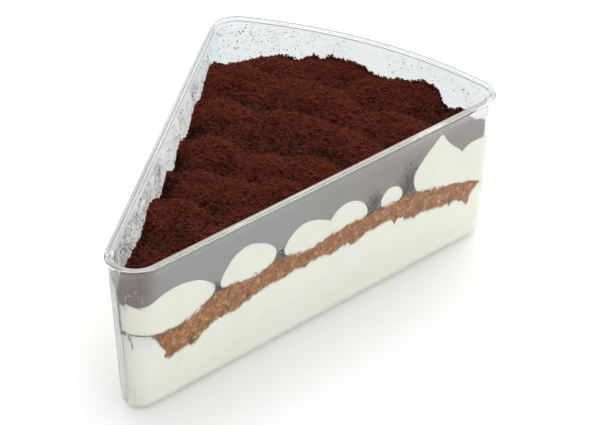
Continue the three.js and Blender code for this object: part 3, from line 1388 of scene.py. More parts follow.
class Form:
    """A closed outline seen from the middle, as a distance for each direction."""

    DIRECTIONS = 96

    def __init__(self, centre: tuple[float, float], radii: Array) -> None:
        """A form round a centre, with one radius for each direction."""
        self.centre = np.array(centre, float)
        self.radii = radii

    @classmethod
    def through(cls, centre: tuple[float, float], points: Pairs) -> "Form":
        """The smooth closed outline through a few points.

        Args:
            centre: a point that sees all of the outline.
            points: the outline's points, in order.

        Returns:
            The form.
        """
        corners = np.array(points, float)
        before, after, beyond = (np.roll(corners, -k, axis=0) for k in (-1, 1, 2))
        t = (np.arange(24) / 24)[:, None, None]
        curve = 0.5 * (
            2 * corners
            + (after - before) * t
            + (2 * before - 5 * corners + 4 * after - beyond) * t**2
            + (3 * corners - before - 3 * after + beyond) * t**3
        )
        curve = curve.transpose(1, 0, 2).reshape(-1, 2) - np.array(centre)
        angle = np.arctan2(curve[:, 1], curve[:, 0])
        order = np.argsort(angle)
        reach = np.hypot(*curve.T)
        return cls(centre, np.interp(cls.directions(), angle[order], reach[order], period=2 * math.pi))

    @classmethod
    def oval(cls, centre: tuple[float, float], half_width: float, half_height: float) -> "Form":
        """An oval."""
        a = cls.directions()
        return cls(centre, 1.0 / np.hypot(np.cos(a) / half_width, np.sin(a) / half_height))

    @classmethod
    def directions(cls) -> Array:
        """The directions of the radii."""
        return np.linspace(-math.pi, math.pi, cls.DIRECTIONS, endpoint=False)

    def towards(self, other: "Form", share: float) -> "Form":
        """A form between this one and another."""
        centre = self.centre * (1 - share) + other.centre * share
        return Form(tuple(centre), self.radii * (1 - share) + other.radii * share)

    def ring(self, keep: float = 1.0) -> Array:
        """The outline's points, drawn in towards the centre."""
        a = self.directions()
        return self.centre + keep * self.radii[:, None] * np.column_stack([np.cos(a), np.sin(a)])


@dataclass
class Rope:
    """One piped rope of cream, laid across the slice and pressed flat on the wall at each end."""

    wedge: Wedge
    number: int
    front: Form
    middle: Form
    far: Form
    cover: "CocoaHeight | None" = None
    press: float = 0.126
    sections: int = 31
    cap_rings: int = 24
    least_cocoa: float = 1.1
    bared: float = 8.0

    def place(self, ring: Array, across: float) -> Array:
        """Puts a ring of (station, height) into the tub.

        Args:
            ring: the ring's points.
            across: -1 at the front side, 1 at the far side.

        Returns:
            The points in space.
        """
        station = np.maximum(ring[:, 0], TIP_STATION)
        inset = self.wedge.inner(ring[:, 1]) - self.press
        if across > 0:
            inset = inset + tip_release(station)
        x, width = self.wedge.side_place(station, inset)
        return np.column_stack([x, across * width, ring[:, 1]])

    def form(self, across: float) -> Form:
        """The rope's section part of the way across."""
        end = self.front if across < 0 else self.far
        return self.middle.towards(end, float(smoothstep(abs(across), 0.0, 1.0)) ** 0.8)

    def under_cocoa(self, ring: Array, across: float) -> Array:
        """Keeps a ring below the cocoa's surface, except right at the front wall.

        Args:
            ring: the ring's points in space.
            across: -1 at the front side, 1 at the far side.

        Returns:
            The lowered points.
        """
        x, y, z = ring.T
        gap = self.cover.wall_gap(x, y)
        by_front = across < -0.9
        depth = self.least_cocoa * (smoothstep(gap, 0.1, 1.6) if by_front else 1.0)
        limit = self.cover.at(x, y, 0.0) - depth
        if by_front:
            limit = limit + self.bared * (1.0 - smoothstep(gap, -0.2, 0.5))
        return np.column_stack([x, y, np.minimum(z, limit)])

    def build(self, material: Material) -> bpy.types.Object:
        """Sections from one side to the other, and an end pressed on each wall.

        Args:
            material: the piped cream.

        Returns:
            The rope.
        """
        places = np.sin(np.linspace(-math.pi / 2, math.pi / 2, self.sections))
        rings = [self.under_cocoa(self.place(self.form(v).ring(), v), v) for v in places]
        keeps = 1.0 - (np.arange(1, self.cap_rings + 1) / self.cap_rings) ** 2
        front = [self.place(self.front.ring(k), -1.0) for k in keeps]
        far = [self.under_cocoa(self.place(self.far.ring(k), 1.0), 1.0) for k in keeps]
        surface = Surface(self.wedge)
        surface.grid(np.array([*reversed(front), *rings, *far]))
        rope = surface.build(f"piped_rope_{self.number}", material)
        settle(rope, Slot.PIPED_CREAM, f"cream_rope_{self.number}")
        return rope


@dataclass
class BackRope(Rope):
    """The last rope, which follows the curved back. Its rings hold the distance from the curve's centre."""

    def place(self, ring: Array, across: float) -> Array:
        """Puts a ring of (distance from the curve's centre, height) into the tub.

        Args:
            ring: the ring's points.
            across: -1 at the front side, 1 at the far side.

        Returns:
            The points in space.
        """
        wedge = self.wedge
        outline = wedge.trace(0.5)
        keep = (outline.side > 0) & (outline.station > 90.0)
        centre = np.array([wedge.arc_x, 0.0])
        points = []
        for distance, z in ring:
            inset = float(wedge.inner(z)) - self.press
            plan = outline.inset(inset)[keep][::-1] - centre
            radius = np.hypot(plan[:, 0], plan[:, 1])
            turn = np.arctan2(plan[:, 1], plan[:, 0])
            rising = slice(0, int(np.argmax(radius > radius.max() - 0.02)) + 1)
            reach = min(distance, wedge.back_curve - inset)
            angle = across * float(np.interp(reach, radius[rising], turn[rising]))
            points.append((centre[0] + reach * math.cos(angle), reach * math.sin(angle), z))
        return np.array(points)


@dataclass
class Ropes:
    """The seven piped ropes, each pressed a little deeper than the last so that no two ends coincide."""

    wedge: Wedge
    deeper: float = 0.004
    light: tuple = srgb(243, 243, 228)
    shade: tuple = srgb(240, 240, 224)
    # Each rope at the front wall, in the middle and at the far wall.
    sections: tuple[tuple[Form, Form, Form], ...] = (
        (
            Form.through((24.5, 23.2), (
                (15.0, 20.2), (17.4, 19.85), (19.7, 19.1), (21.9, 18.8), (24.8, 18.5), (27.7, 18.4),
                (29.9, 18.6), (32.1, 19.2), (34.7, 20.8), (36.5, 22.0), (37.2, 23.3), (36.8, 24.4),
                (34.6, 26.4), (32.0, 27.8), (28.2, 28.7), (24.7, 28.7), (21.8, 28.1), (20.2, 27.5),
                (18.3, 27.0), (16.6, 27.2), (14.6, 27.8), (14.0, 24.0),
            )),
            Form.oval((25.0, 22.8), 12.0, 5.2),
            Form.through((24.5, 23.2), (
                (15.0, 20.2), (18.0, 20.5), (22.0, 19.4), (27.0, 18.6), (32.0, 19.5), (35.5, 21.2),
                (37.6, 23.6), (36.0, 26.0), (32.0, 27.7), (27.0, 28.6), (22.0, 28.4), (18.0, 27.9),
                (14.6, 27.8), (14.0, 24.0),
            )),
        ),
        (
            Form.through((46.8, 25.0), (
                (38.7, 23.6), (39.1, 24.9), (39.9, 26.2), (42.4, 28.8), (45.6, 29.9), (47.6, 29.8),
                (49.5, 29.1), (51.6, 28.1), (53.6, 26.4), (54.5, 24.8), (54.1, 23.2), (52.8, 21.9),
                (50.5, 20.9), (47.2, 21.1), (44.2, 21.4), (41.0, 22.0), (39.3, 22.4),
            )),
            Form.oval((49.0, 23.9), 9.2, 4.6),
            Form.oval((51.5, 24.4), 8.2, 4.6),
        ),
        (
            Form.through((63.5, 24.0), (
                (57.0, 23.3), (57.3, 24.8), (58.5, 26.5), (60.8, 27.9), (63.5, 28.3), (66.2, 27.6),
                (68.3, 26.7), (70.5, 25.4), (71.6, 23.4), (70.6, 21.2), (68.0, 20.5), (66.0, 20.3),
                (63.2, 20.6), (60.5, 21.0), (58.1, 21.9),
            )),
            Form.oval((66.0, 23.9), 7.4, 4.7),
            Form.oval((66.0, 24.2), 7.0, 4.4),
        ),
        (
            Form.through((76.0, 24.4), (
                (69.8, 23.2), (70.5, 25.3), (71.5, 26.5), (73.1, 27.6), (75.4, 28.0), (78.0, 27.4),
                (80.1, 26.0), (81.4, 24.2), (81.7, 22.6), (80.8, 21.6), (78.7, 21.2), (76.2, 21.3),
                (73.4, 21.4), (71.0, 21.4),
            )),
            Form.oval((80.0, 24.2), 7.6, 4.6),
            Form.oval((80.5, 24.6), 7.0, 4.5),
        ),
        (
            Form.through((89.2, 23.6), (
                (86.0, 23.2), (86.2, 24.3), (87.2, 25.5), (88.6, 26.1), (90.4, 25.8), (91.6, 24.9),
                (92.5, 23.4), (92.2, 22.2), (91.0, 21.4), (89.0, 21.2), (87.2, 21.4), (86.3, 22.1),
            )),
            Form.oval((95.5, 24.0), 7.6, 5.0),
            Form.oval((95.5, 24.4), 7.0, 5.0),
        ),
        (
            Form.through((103.5, 24.6), (
                (96.1, 24.6), (96.2, 25.9), (96.7, 27.1), (97.9, 28.4), (99.7, 30.1), (101.8, 31.8),
                (103.6, 33.3), (104.5, 33.6), (105.2, 32.6), (106.6, 30.6), (108.7, 28.6), (111.0, 26.5),
                (112.8, 23.6), (112.6, 20.0), (110.0, 17.6), (106.0, 18.5), (102.2, 19.4), (98.3, 20.6),
                (97.0, 22.0), (96.3, 23.4),
            )),
            Form.oval((111.0, 23.6), 7.6, 5.6),
            Form.oval((109.5, 24.4), 7.0, 5.2),
        ),
        (
            Form.through((101.0, 21.0), (
                (94.2, 20.0), (94.6, 23.6), (95.4, 26.0), (96.6, 26.9), (98.6, 27.4), (101.0, 27.3),
                (104.0, 27.1), (108.0, 26.9), (109.0, 20.0), (108.0, 12.0), (104.0, 13.8), (101.0, 15.3),
                (98.0, 16.6), (95.2, 17.6),
            )),
            Form.through((101.0, 20.0), (
                (96.0, 19.0), (96.6, 24.0), (98.6, 27.2), (102.0, 28.4), (108.0, 27.6), (109.0, 20.0),
                (108.0, 11.6), (104.0, 12.2), (100.0, 13.4), (97.0, 15.6),
            )),
            Form.through((101.0, 20.0), (
                (94.6, 19.0), (95.4, 23.0), (98.0, 25.4), (102.0, 26.0), (108.0, 25.0), (109.0, 19.0),
                (108.0, 12.0), (104.0, 13.8), (99.0, 16.0), (96.0, 17.2),
            )),
        ),
    )

    def all(self) -> list[Rope]:
        """The ropes, in order from the point. The last one follows the curved back."""
        kinds = [Rope] * (len(self.sections) - 1) + [BackRope]
        pairs = enumerate(zip(kinds, self.sections), 1)
        return [kind(self.wedge, number, *forms) for number, (kind, forms) in pairs]

    def build(self) -> list[bpy.types.Object]:
        """Pipes every rope.

        Returns:
            The ropes, in the same order.
        """
        material = Cream("piped_cream", self.light, self.shade).material()
        cover = CocoaHeight(self.wedge)
        ropes = self.all()
        for rope in ropes:
            rope.cover = cover
            rope.press += self.deeper * rope.number
        return [rope.build(material) for rope in ropes]


@dataclass(frozen=True)
class Lobe:
    """A fold of cocoa over the cream: a crest across the slice with a long slope towards the point."""

    x: float
    y: float
    half: float
    turn: float = 0.0
    bow: float = 1.5
    rise: float = 3.0
    steep: float = 2.9
    gentle: float = 6.8

    def height(self, x: Array, y: Array) -> Array:
        """How high it stands over the valleys at each point.

        Args:
            x: plan position of the points.
            y: the same across the slice.

        Returns:
            The height of each point.
        """
        turn = math.radians(self.turn)
        dx, dy = x - self.x, y - self.y
        along = dx * math.sin(turn) + dy * math.cos(turn)
        past = dx * math.cos(turn) - dy * math.sin(turn) + self.bow * (along / self.half) ** 2
        behind = np.exp(-((past / self.steep) ** 2))
        before = np.exp(-(np.abs(past / self.gentle) ** 1.7))
        slope = np.where(past > 0, behind, before)
        return self.rise * slope * np.exp(-((np.abs(along) / (1.3 * self.half)) ** 4))


@dataclass
class CocoaHeight:
    """Height of the cocoa's surface all over the slice."""

    wedge: Wedge
    valley: float = 27.9
    relief: float = 0.64
    lobes: tuple[Lobe, ...] = (
        Lobe(33.0, 0.0, 9.0, rise=2.3),
        Lobe(52.0, 9.0, 6.5, rise=3.4),
        Lobe(46.0, -6.0, 7.0, 12.0, rise=2.2),
        Lobe(64.8, 4.5, 10.5, -4.0, rise=3.4),
        Lobe(58.0, -11.0, 6.0, 10.0, rise=2.4),
        Lobe(77.4, 13.5, 6.0, -6.0, rise=3.3),
        Lobe(76.2, 1.8, 5.5, -12.0, rise=3.2),
        Lobe(70.0, -7.5, 5.0, 6.0, rise=2.9),
        Lobe(81.5, -10.5, 5.5, 15.0, rise=3.0),
        Lobe(74.0, -19.0, 5.0, 10.0, rise=2.4),
        Lobe(92.8, 18.5, 6.5, 8.0, rise=3.6),
        Lobe(96.2, -3.0, 15.0, 2.0, 2.6, rise=3.8),
        Lobe(90.0, -22.0, 6.0, 14.0, rise=2.8),
        Lobe(108.8, 23.5, 7.5, 6.0, rise=3.9),
        Lobe(109.6, 4.2, 11.0, 3.0, 3.6, rise=4.2),
        Lobe(106.8, -16.5, 8.0, -8.0, 2.2, rise=4.0),
        Lobe(117.0, 18.5, 6.0, 14.0, rise=4.2),
        Lobe(122.0, 5.0, 8.0, 0.0, 2.0, rise=4.6),
        Lobe(119.8, -8.5, 9.0, -18.0, rise=4.6),
        Lobe(104.0, -29.0, 6.0, 12.0, rise=2.4),
    )
    front_wall: Pairs = (
        (15.0, 28.6), (30.0, 29.4), (38.0, 28.7), (46.0, 30.4), (55.0, 28.9), (63.0, 29.6), (76.0, 29.2),
        (84.0, 28.2), (91.0, 29.0), (96.0, 31.0), (99.8, 33.6), (103.5, 31.8), (108.0, 29.4), (124.0, 29.2),
    )
    far_wall: Pairs = (
        (15.0, 28.4), (28.0, 28.4), (35.0, 27.9), (41.0, 28.2), (44.0, 30.1), (47.0, 30.4), (51.0, 29.2),
        (56.0, 26.6), (59.0, 28.1), (61.5, 28.8), (66.0, 26.5), (68.3, 26.0), (70.5, 27.9), (73.0, 28.8),
        (76.0, 28.3), (81.0, 27.0), (84.0, 28.6), (87.0, 30.1), (91.0, 29.3), (95.0, 29.4), (98.0, 30.6),
        (101.0, 32.0), (104.0, 31.4), (106.5, 30.1), (109.5, 28.4), (112.5, 26.9), (118.0, 24.8),
    )
    back_wall: Pairs = (
        (-36.0, 28.6), (-30.0, 28.5), (-26.5, 28.3), (-22.2, 27.4), (-20.8, 28.2), (-20.0, 30.2),
        (-18.0, 31.4), (-13.0, 30.7), (-9.7, 29.9), (-6.0, 29.2), (-1.7, 29.1), (0.5, 30.1),
        (3.0, 30.7), (11.4, 30.3),
        (15.2, 29.6), (17.0, 28.5), (20.5, 28.8), (23.2, 28.1), (25.0, 27.2), (27.3, 25.5), (29.3, 24.9),
        (34.0, 24.8),
    )
    wall_reach: float = 3.2
    usual: float = 29.0
    swell: float = 0.5

    def __post_init__(self) -> None:
        """Turns the lists of points into curves."""
        self.noise = Unevenness(5)
        self._front = curve_through(self.front_wall)
        self._far = curve_through(self.far_wall)
        self._back = curve_through(self.back_wall)

    def _gaps(self, x: Array, y: Array) -> tuple[Array, Array, Array]:
        """Distances to the front, the far and the curved wall.

        Args:
            x: plan position of the points.
            y: the same across the slice.

        Returns:
            The three distances.
        """
        wedge = self.wedge
        sin, cos = math.sin(wedge.half_angle), math.cos(wedge.half_angle)
        inset = float(wedge.inner(self.usual))
        curved = wedge.back_curve - inset - np.hypot(x - wedge.arc_x, y)
        return x * sin + y * cos - inset, x * sin - y * cos - inset, curved

    def wall_gap(self, x: Array, y: Array) -> Array:
        """Distance to the nearest wall."""
        return np.min(self._gaps(x, y), axis=0)

    def at(self, x: Array, y: Array, rough: float = 1.0) -> Array:
        """The surface's height.

        Args:
            x: plan position of the points.
            y: the same across the slice.
            rough: strength of the fine roughness.

        Returns:
            The height of each point.
        """
        lobes = sum(lobe.height(x, y) ** 5 for lobe in self.lobes) ** 0.2
        open_ground = self.valley + self.relief * lobes + self.swell * self.noise.at(x, y, 7.0, 2)
        heights = (self._front(x), self._far(x), self._back(y))
        weights = [np.exp(-((np.maximum(gap, 0.0) / self.wall_reach) ** 2)) for gap in self._gaps(x, y)]
        total = sum(weights)
        at_wall = sum(weight * height for weight, height in zip(weights, heights))
        height = open_ground * (1.0 - np.minimum(total, 1.0)) + at_wall / np.maximum(total, 1.0)
        lumps = 0.28 * self.noise.at(x + 70, y, 2.3, 2) + 0.22 * self.noise.at(x, y + 90, 1.0, 2)
        return height + rough * (lumps + 0.20 * self.noise.at(x + 7, y + 3, 0.52))


class Grain:
    """A small lump of cocoa: an eight-sided stone."""

    POINTS = np.array([(1, 0, 0), (-1, 0, 0), (0, 1, 0), (0, -1, 0), (0, 0, 1), (0, 0, -1)], float)
    FACES = np.array(
        [(0, 2, 4), (2, 1, 4), (1, 3, 4), (3, 0, 4), (2, 0, 5), (1, 2, 5), (3, 1, 5), (0, 3, 5)]
    )
    FLATNESS = 0.75

    @classmethod
    def many(cls, rng: np.random.Generator, sizes: Array) -> Array:
        """Turned and dented copies.

        Args:
            rng: where the random turns come from.
            sizes: radius of each.

        Returns:
            Points of shape (count, 6, 3).
        """
        count = len(sizes)
        stretch = rng.uniform(0.7, 1.3, (count, 1, 3)) * (1.0, 1.0, cls.FLATNESS)
        forms = cls.POINTS * rng.uniform(0.75, 1.25, (count, 6, 1)) * stretch * sizes[:, None, None]
        turn, tilt = rng.uniform(0, 2 * math.pi, count), rng.uniform(-0.6, 0.6, count)
        ct, st, ca, sa = np.cos(turn), np.sin(turn), np.cos(tilt), np.sin(tilt)
        zero, one = np.zeros(count), np.ones(count)
        spin = np.array([[ct, -st, zero], [st, ct, zero], [zero, zero, one]]).transpose(2, 0, 1)
        lean = np.array([[one, zero, zero], [zero, ca, -sa], [zero, sa, ca]]).transpose(2, 0, 1)
        return np.einsum("nij,njk,nlk->nli", spin, lean, forms)


@dataclass
class Cocoa:
    """The thick coat of cocoa and its loose grains."""

    wedge: Wedge
    layers: Layers
    height: CocoaHeight
    spacing: float = 0.36
    across: int = 190
    gap: float = 0.22
    skirt_rows: int = 22
    overlap: float = 0.6
    grains: int = 19000
    rim_grains: int = 4200
    grain_size: float = 0.19
    powder: Powder = Powder("cocoa_powder", srgb(25, 4, 1), srgb(86, 30, 17))
    grain: Powder = Powder("cocoa_grain", srgb(32, 6, 2), srgb(118, 50, 34))

    def build(self) -> None:
        """Makes the coat, then the grains that lie loose on it."""
        self._coat()
        self._loose()

    def _coat(self) -> None:
        """The coat itself: a rough top, sides just clear of the wall, and a hidden underside."""
        wedge = self.wedge
        outline = wedge.trace(self.spacing)
        inset = wedge.inner(self.height.usual) + self.gap
        half = outline.inset(inset)[outline.side < 0]
        order = np.argsort(half[:, 0])
        half, normals = half[order], outline.normals[outline.side < 0][order]
        share = np.sin(np.linspace(-math.pi / 2, math.pi / 2, self.across))
        share = 0.35 * share + 0.65 * np.linspace(-1, 1, self.across)
        x = np.repeat(half[:, :1], self.across, axis=1)
        y = -half[:, 1:] * share
        surface = Surface(wedge)
        surface.grid(np.dstack([x, y, self.height.at(x, y)]), closed=False)
        front = np.column_stack([half[:, 0], half[:, 1]])
        rim = np.concatenate([front, (front * (1, -1))[::-1]])
        top = self.height.at(rim[:, 0], rim[:, 1])
        station = rim[:, 0] / math.cos(wedge.half_angle)
        bottom = self.layers.top(station, np.sign(rim[:, 1])) - self.overlap
        outward = np.concatenate([normals, (normals * (1, -1))[::-1]])
        rings = []
        for t in np.linspace(0.0, 1.0, self.skirt_rows):
            z = top + (bottom - top) * t
            inward = outward * (wedge.inner(z) + self.gap - inset)[:, None] * smoothstep(t, 0.0, 0.2)
            rings.append(np.column_stack([rim - inward, z]))
        surface.grid(np.array(rings), flip=True)
        surface.grid(np.array([rings[-1], *Web().rings(rings[-1])]), flip=True)
        coat = surface.build("cocoa_coat", self.powder.material())
        settle(coat, Slot.COCOA, "cocoa")

    def _loose(self) -> None:
        """Loose grains all over the top, with larger ones along the walls."""
        wedge = self.wedge
        rng = np.random.default_rng(7)
        inset = float(wedge.inner(30.0)) + 0.25
        x = wedge.reach * np.sqrt(rng.uniform(0.0, 1.0, self.grains * 2))
        y = x * math.tan(wedge.half_angle) * rng.uniform(-1, 1, len(x))
        inside = wedge.holds(x, y, inset + 0.2)
        x, y = x[inside][: self.grains], y[inside][: self.grains]
        sizes = np.clip(rng.lognormal(math.log(self.grain_size), 0.36, len(x)), 0.08, 0.42)
        outline = wedge.trace(0.4)
        pick = rng.integers(0, len(outline.points), self.rim_grains)
        edge = outline.inset(inset + rng.uniform(0.18, 0.6, len(outline.points)))[pick]
        x, y = np.concatenate([x, edge[:, 0]]), np.concatenate([y, edge[:, 1]])
        sizes = np.concatenate([sizes, rng.uniform(0.12, 0.38, self.rim_grains)])
        lift = np.zeros(len(sizes))
        lift[-self.rim_grains :] = rng.uniform(0, 0.62, self.rim_grains) ** 2
        places = np.column_stack([x, y, self.height.at(x, y) + 0.35 * sizes + 1.6 * lift])
        surface = Surface(wedge)
        surface.copies(Grain.many(rng, sizes), Grain.FACES, places)
        settle(surface.build("cocoa_grains", self.grain.material(), weld=False), Slot.COCOA)


class Specks:
    """Specks gathered for one joined piece on the inside of the wall."""

    def __init__(self, wedge: Wedge, seed: int) -> None:
        """Starts with none, and with the piece's own random numbers.

        Args:
            wedge: the tub's plan.
            seed: of the random numbers.
        """
        self.wedge = wedge
        self.rng = np.random.default_rng(seed)
        self.outline = wedge.trace(0.3)
        self.places: list[Array] = []
        self.sizes: list[Array] = []

    def on_wall(
        self,
        station: Array,
        side: Side,
        z: Array,
        inset: Array | float,
    ) -> Array:
        """Points on the inside of the wall by station, side and height, drawn in by an inset."""
        run = self.outline.run_at(station, side)
        return self.outline.on_wall(run, self.wedge.inner(z) + inset, z)

    def add(self, places: Array, sizes: Array) -> None:
        """Adds specks at some places."""
        self.places.append(places)
        self.sizes.append(sizes)

    def build(self, name: str, material: Material, slot: Slot) -> None:
        """Makes the joined piece.

        Args:
            name: the piece's name.
            material: its finish.
            slot: its material slot.
        """
        surface = Surface(self.wedge)
        forms = Grain.many(self.rng, np.concatenate(self.sizes))
        surface.copies(forms, Grain.FACES, np.concatenate(self.places))
        settle(surface.build(name, material, weld=False), slot)


@dataclass(frozen=True)
class DustBand:
    """Dust on a stretch of wall. A rise under 1 gathers it towards the rim, over 1 towards the cocoa."""

    side: Side
    start: float
    end: float
    count: int
    small: float
    large: float
    rise: float


@dataclass(frozen=True)
class Patch:
    """Specks scattered round one place on the front wall."""

    station: float
    z: float
    wide: float
    high: float
    count: int


@dataclass
class WallCocoa:
    """Cocoa that has stuck to the inside of the walls, dry and damp."""

    wedge: Wedge
    height: CocoaHeight
    dust_bands: tuple[DustBand, ...] = (
        DustBand(Side.FAR, 15.5, 60.0, 6000, 0.04, 0.10, 0.8),
        DustBand(Side.FAR, 15.5, 30.0, 400, 0.06, 0.13, 0.9),
        DustBand(Side.FAR, 15.5, 46.0, 600, 0.06, 0.13, 0.9),
        DustBand(Side.FAR, 55.0, 98.0, 3300, 0.04, 0.10, 0.8),
        DustBand(Side.FAR, 90.0, 112.0, 700, 0.03, 0.09, 0.9),
        DustBand(Side.FAR, 20.0, 108.0, 460, 0.09, 0.18, 1.1),
        DustBand(Side.FAR, 108.0, 156.0, 1700, 0.03, 0.08, 1.0),
        DustBand(Side.FAR, 119.0, 156.0, 210, 0.08, 0.18, 1.0),
        DustBand(Side.FAR, 120.0, 146.0, 130, 0.08, 0.20, 0.55),
        DustBand(Side.FAR, 124.0, 133.0, 120, 0.09, 0.22, 0.40),
        DustBand(Side.FAR, 117.0, 122.0, 90, 0.06, 0.15, 0.45),
        DustBand(Side.FRONT, 122.0, 156.0, 900, 0.03, 0.08, 0.8),
        DustBand(Side.FRONT, 119.0, 156.0, 120, 0.10, 0.21, 0.8),
    )
    patches: tuple[Patch, ...] = (
        Patch(83.6, 23.6, 2.6, 3.4, 380),
        Patch(82.0, 22.0, 2.8, 0.7, 110),
        Patch(94.0, 22.8, 2.8, 1.8, 260),
        Patch(94.8, 25.4, 2.6, 2.8, 300),
        Patch(95.6, 28.2, 2.2, 2.6, 130),
        Patch(92.6, 25.8, 2.6, 2.8, 110),
        Patch(37.9, 22.9, 2.0, 1.3, 150),
        Patch(40.2, 21.9, 3.2, 0.6, 110),
        Patch(55.7, 23.1, 2.0, 1.4, 150),
        Patch(70.4, 24.8, 0.9, 0.6, 30),
    )
    rim_gap: float = 1.2
    clump: float = 3.0
    dry: Powder = Powder("cocoa_dust", srgb(34, 26, 22), srgb(74, 62, 54))
    damp: Powder = Powder("damp_cocoa", srgb(60, 44, 38), srgb(124, 102, 94))

    def build(self) -> None:
        """Dry dust, then damp smears."""
        self._dust()
        self._smears()

    def _dust(self) -> None:
        """Clumped dust between the cocoa and the rim, thick on the far wall and sparser on the others."""
        specks = Specks(self.wedge, 31)
        rng = specks.rng
        clumps = Unevenness(37)
        for band in self.dust_bands:
            count = band.count
            station = rng.uniform(band.start, band.end, count)
            share = rng.uniform(0.0, 1.0, count) ** band.rise
            spots = specks.on_wall(station, band.side, np.full(count, 30.0), 0.2)
            low = self.height.at(spots[:, 0], spots[:, 1], 0.0)
            z = low + (self.wedge.height - self.rim_gap - low) * share
            size = rng.uniform(band.small, band.large, count)
            keep = clumps.at(station, z, self.clump, 3, 0.8) > rng.uniform(-1.1, 0.7, count)
            specks.add(specks.on_wall(station, band.side, z, 0.3 * size)[keep], size[keep])
        specks.build("cocoa_dust", self.dry.material(), Slot.COCOA)

    def _smears(self) -> None:
        """Damp cocoa that touches the front wall between the ropes."""
        specks = Specks(self.wedge, 47)
        rng = specks.rng
        for patch in self.patches:
            station = rng.normal(patch.station, patch.wide * 0.55, patch.count)
            z = rng.normal(patch.z, patch.high * 0.6, patch.count)
            size = rng.uniform(0.07, 0.20, patch.count)
            specks.add(specks.on_wall(station, Side.FRONT, z, 0.0), size)
        specks.build("damp_cocoa", self.damp.material(), Slot.COCOA)


@dataclass(frozen=True)
class BrownLine:
    """A thin brown line on the wall, with specks spread a little to each side of it."""

    side: Side
    start: float
    end: float
    start_z: float
    end_z: float
    spread: float
    count: int


@dataclass
class Crumbs:
    """Torn crumbs along the sponge's edges, and thin brown lines at the tip, along the sponge's top and
    down the crack.
    """

    layers: Layers
    first: float = 23.5
    last: float = 114.6
    under_count: int = 2600
    top_count: int = 1300
    under_stray: float = 0.34
    top_stray: float = 0.22
    sunk: float = 0.25
    press: float = 0.15
    line_press: float = 0.24
    lines: tuple[BrownLine, ...] = (
        BrownLine(Side.FRONT, 15.0, 17.4, 20.15, 19.85, 0.05, 190),
        BrownLine(Side.FRONT, 17.4, 22.0, 19.85, 18.85, 0.07, 330),
        BrownLine(Side.FAR, 15.0, 16.1, 20.15, 20.35, 0.08, 110),
        BrownLine(Side.FRONT, 15.15, 15.75, 19.5, 18.6, 0.25, 70),
        BrownLine(Side.FRONT, 15.85, 16.1, 18.6, 16.3, 0.22, 110),
    )
    crumb: Crumb = Crumb(srgb(112, 76, 46), srgb(148, 104, 64), srgb(168, 124, 80), srgb(200, 162, 116))

    def build(self) -> None:
        """Crumbs under the sponge and over it, then the brown lines, in one piece."""
        layers = self.layers
        specks = Specks(layers.wedge, 53)
        rng = specks.rng
        edges = (
            (layers.torn_under, -1.0, self.under_count, self.under_stray),
            (layers.torn_top, 1.0, self.top_count, self.top_stray),
        )
        for edge, away, count, spread in edges:
            station = rng.uniform(self.first, self.last, count)
            run = specks.outline.run_at(station, Side.FRONT)
            stray = np.abs(rng.normal(0.0, spread, count))
            z = edge(run, station, np.full_like(station, Side.FRONT.value)) + away * (stray - self.sunk)
            size = rng.uniform(0.05, 0.15, count) * np.exp(-0.7 * stray)
            specks.add(specks.on_wall(station, Side.FRONT, z, -self.press), size)
        for line in self.lines:
            t = rng.uniform(0.0, 1.0, line.count)
            z = line.start_z + (line.end_z - line.start_z) * t
            z = z + line.spread * rng.normal(0.0, 1.0, line.count)
            station = line.start + (line.end - line.start) * t
            station = station + 0.05 * rng.normal(0.0, 1.0, line.count)
            places = specks.on_wall(np.maximum(station, TIP_STATION), line.side, z, -self.line_press)
            specks.add(places, rng.uniform(0.03, 0.09, line.count))
        specks.build("sponge_crumbs", self.crumb.material(), Slot.SPONGE)


@dataclass
class Droplets:
    """Tiny pale droplets on the bloom by the tip, and the scuffs at its far end."""

    wedge: Wedge
    patches: tuple[Patch, ...] = (
        Patch(15.25, 29.2, 0.08, 0.5, 9),
        Patch(15.9, 30.1, 0.35, 0.25, 12),
        Patch(17.2, 30.5, 0.5, 0.9, 16),
        Patch(18.2, 28.7, 0.12, 0.5, 9),
        Patch(16.6, 32.4, 0.5, 0.7, 6),
        Patch(114.3, 35.0, 0.7, 0.5, 26),
        Patch(115.6, 33.6, 0.6, 0.6, 26),
        Patch(117.0, 33.0, 0.5, 0.4, 12),
        Patch(46.0, 33.0, 9.0, 1.2, 10),
    )
    last: float = 118.0
    low: float = 24.0
    high: float = 35.9
    pale: Cream = Cream("pale_droplets", srgb(244, 240, 234), srgb(232, 228, 222))

    def build(self) -> None:
        """All of them in one piece."""
        specks = Specks(self.wedge, 71)
        rng = specks.rng
        for patch in self.patches:
            station = np.clip(rng.normal(patch.station, patch.wide, patch.count), TIP_STATION, self.last)
            z = np.clip(rng.normal(patch.z, patch.high, patch.count), self.low, self.high)
            size = rng.uniform(0.05, 0.14, patch.count)
            specks.add(specks.on_wall(station, Side.FRONT, z, 0.0), size)
        specks.build("pale_droplets", self.pale.material(), Slot.PIPED_CREAM)


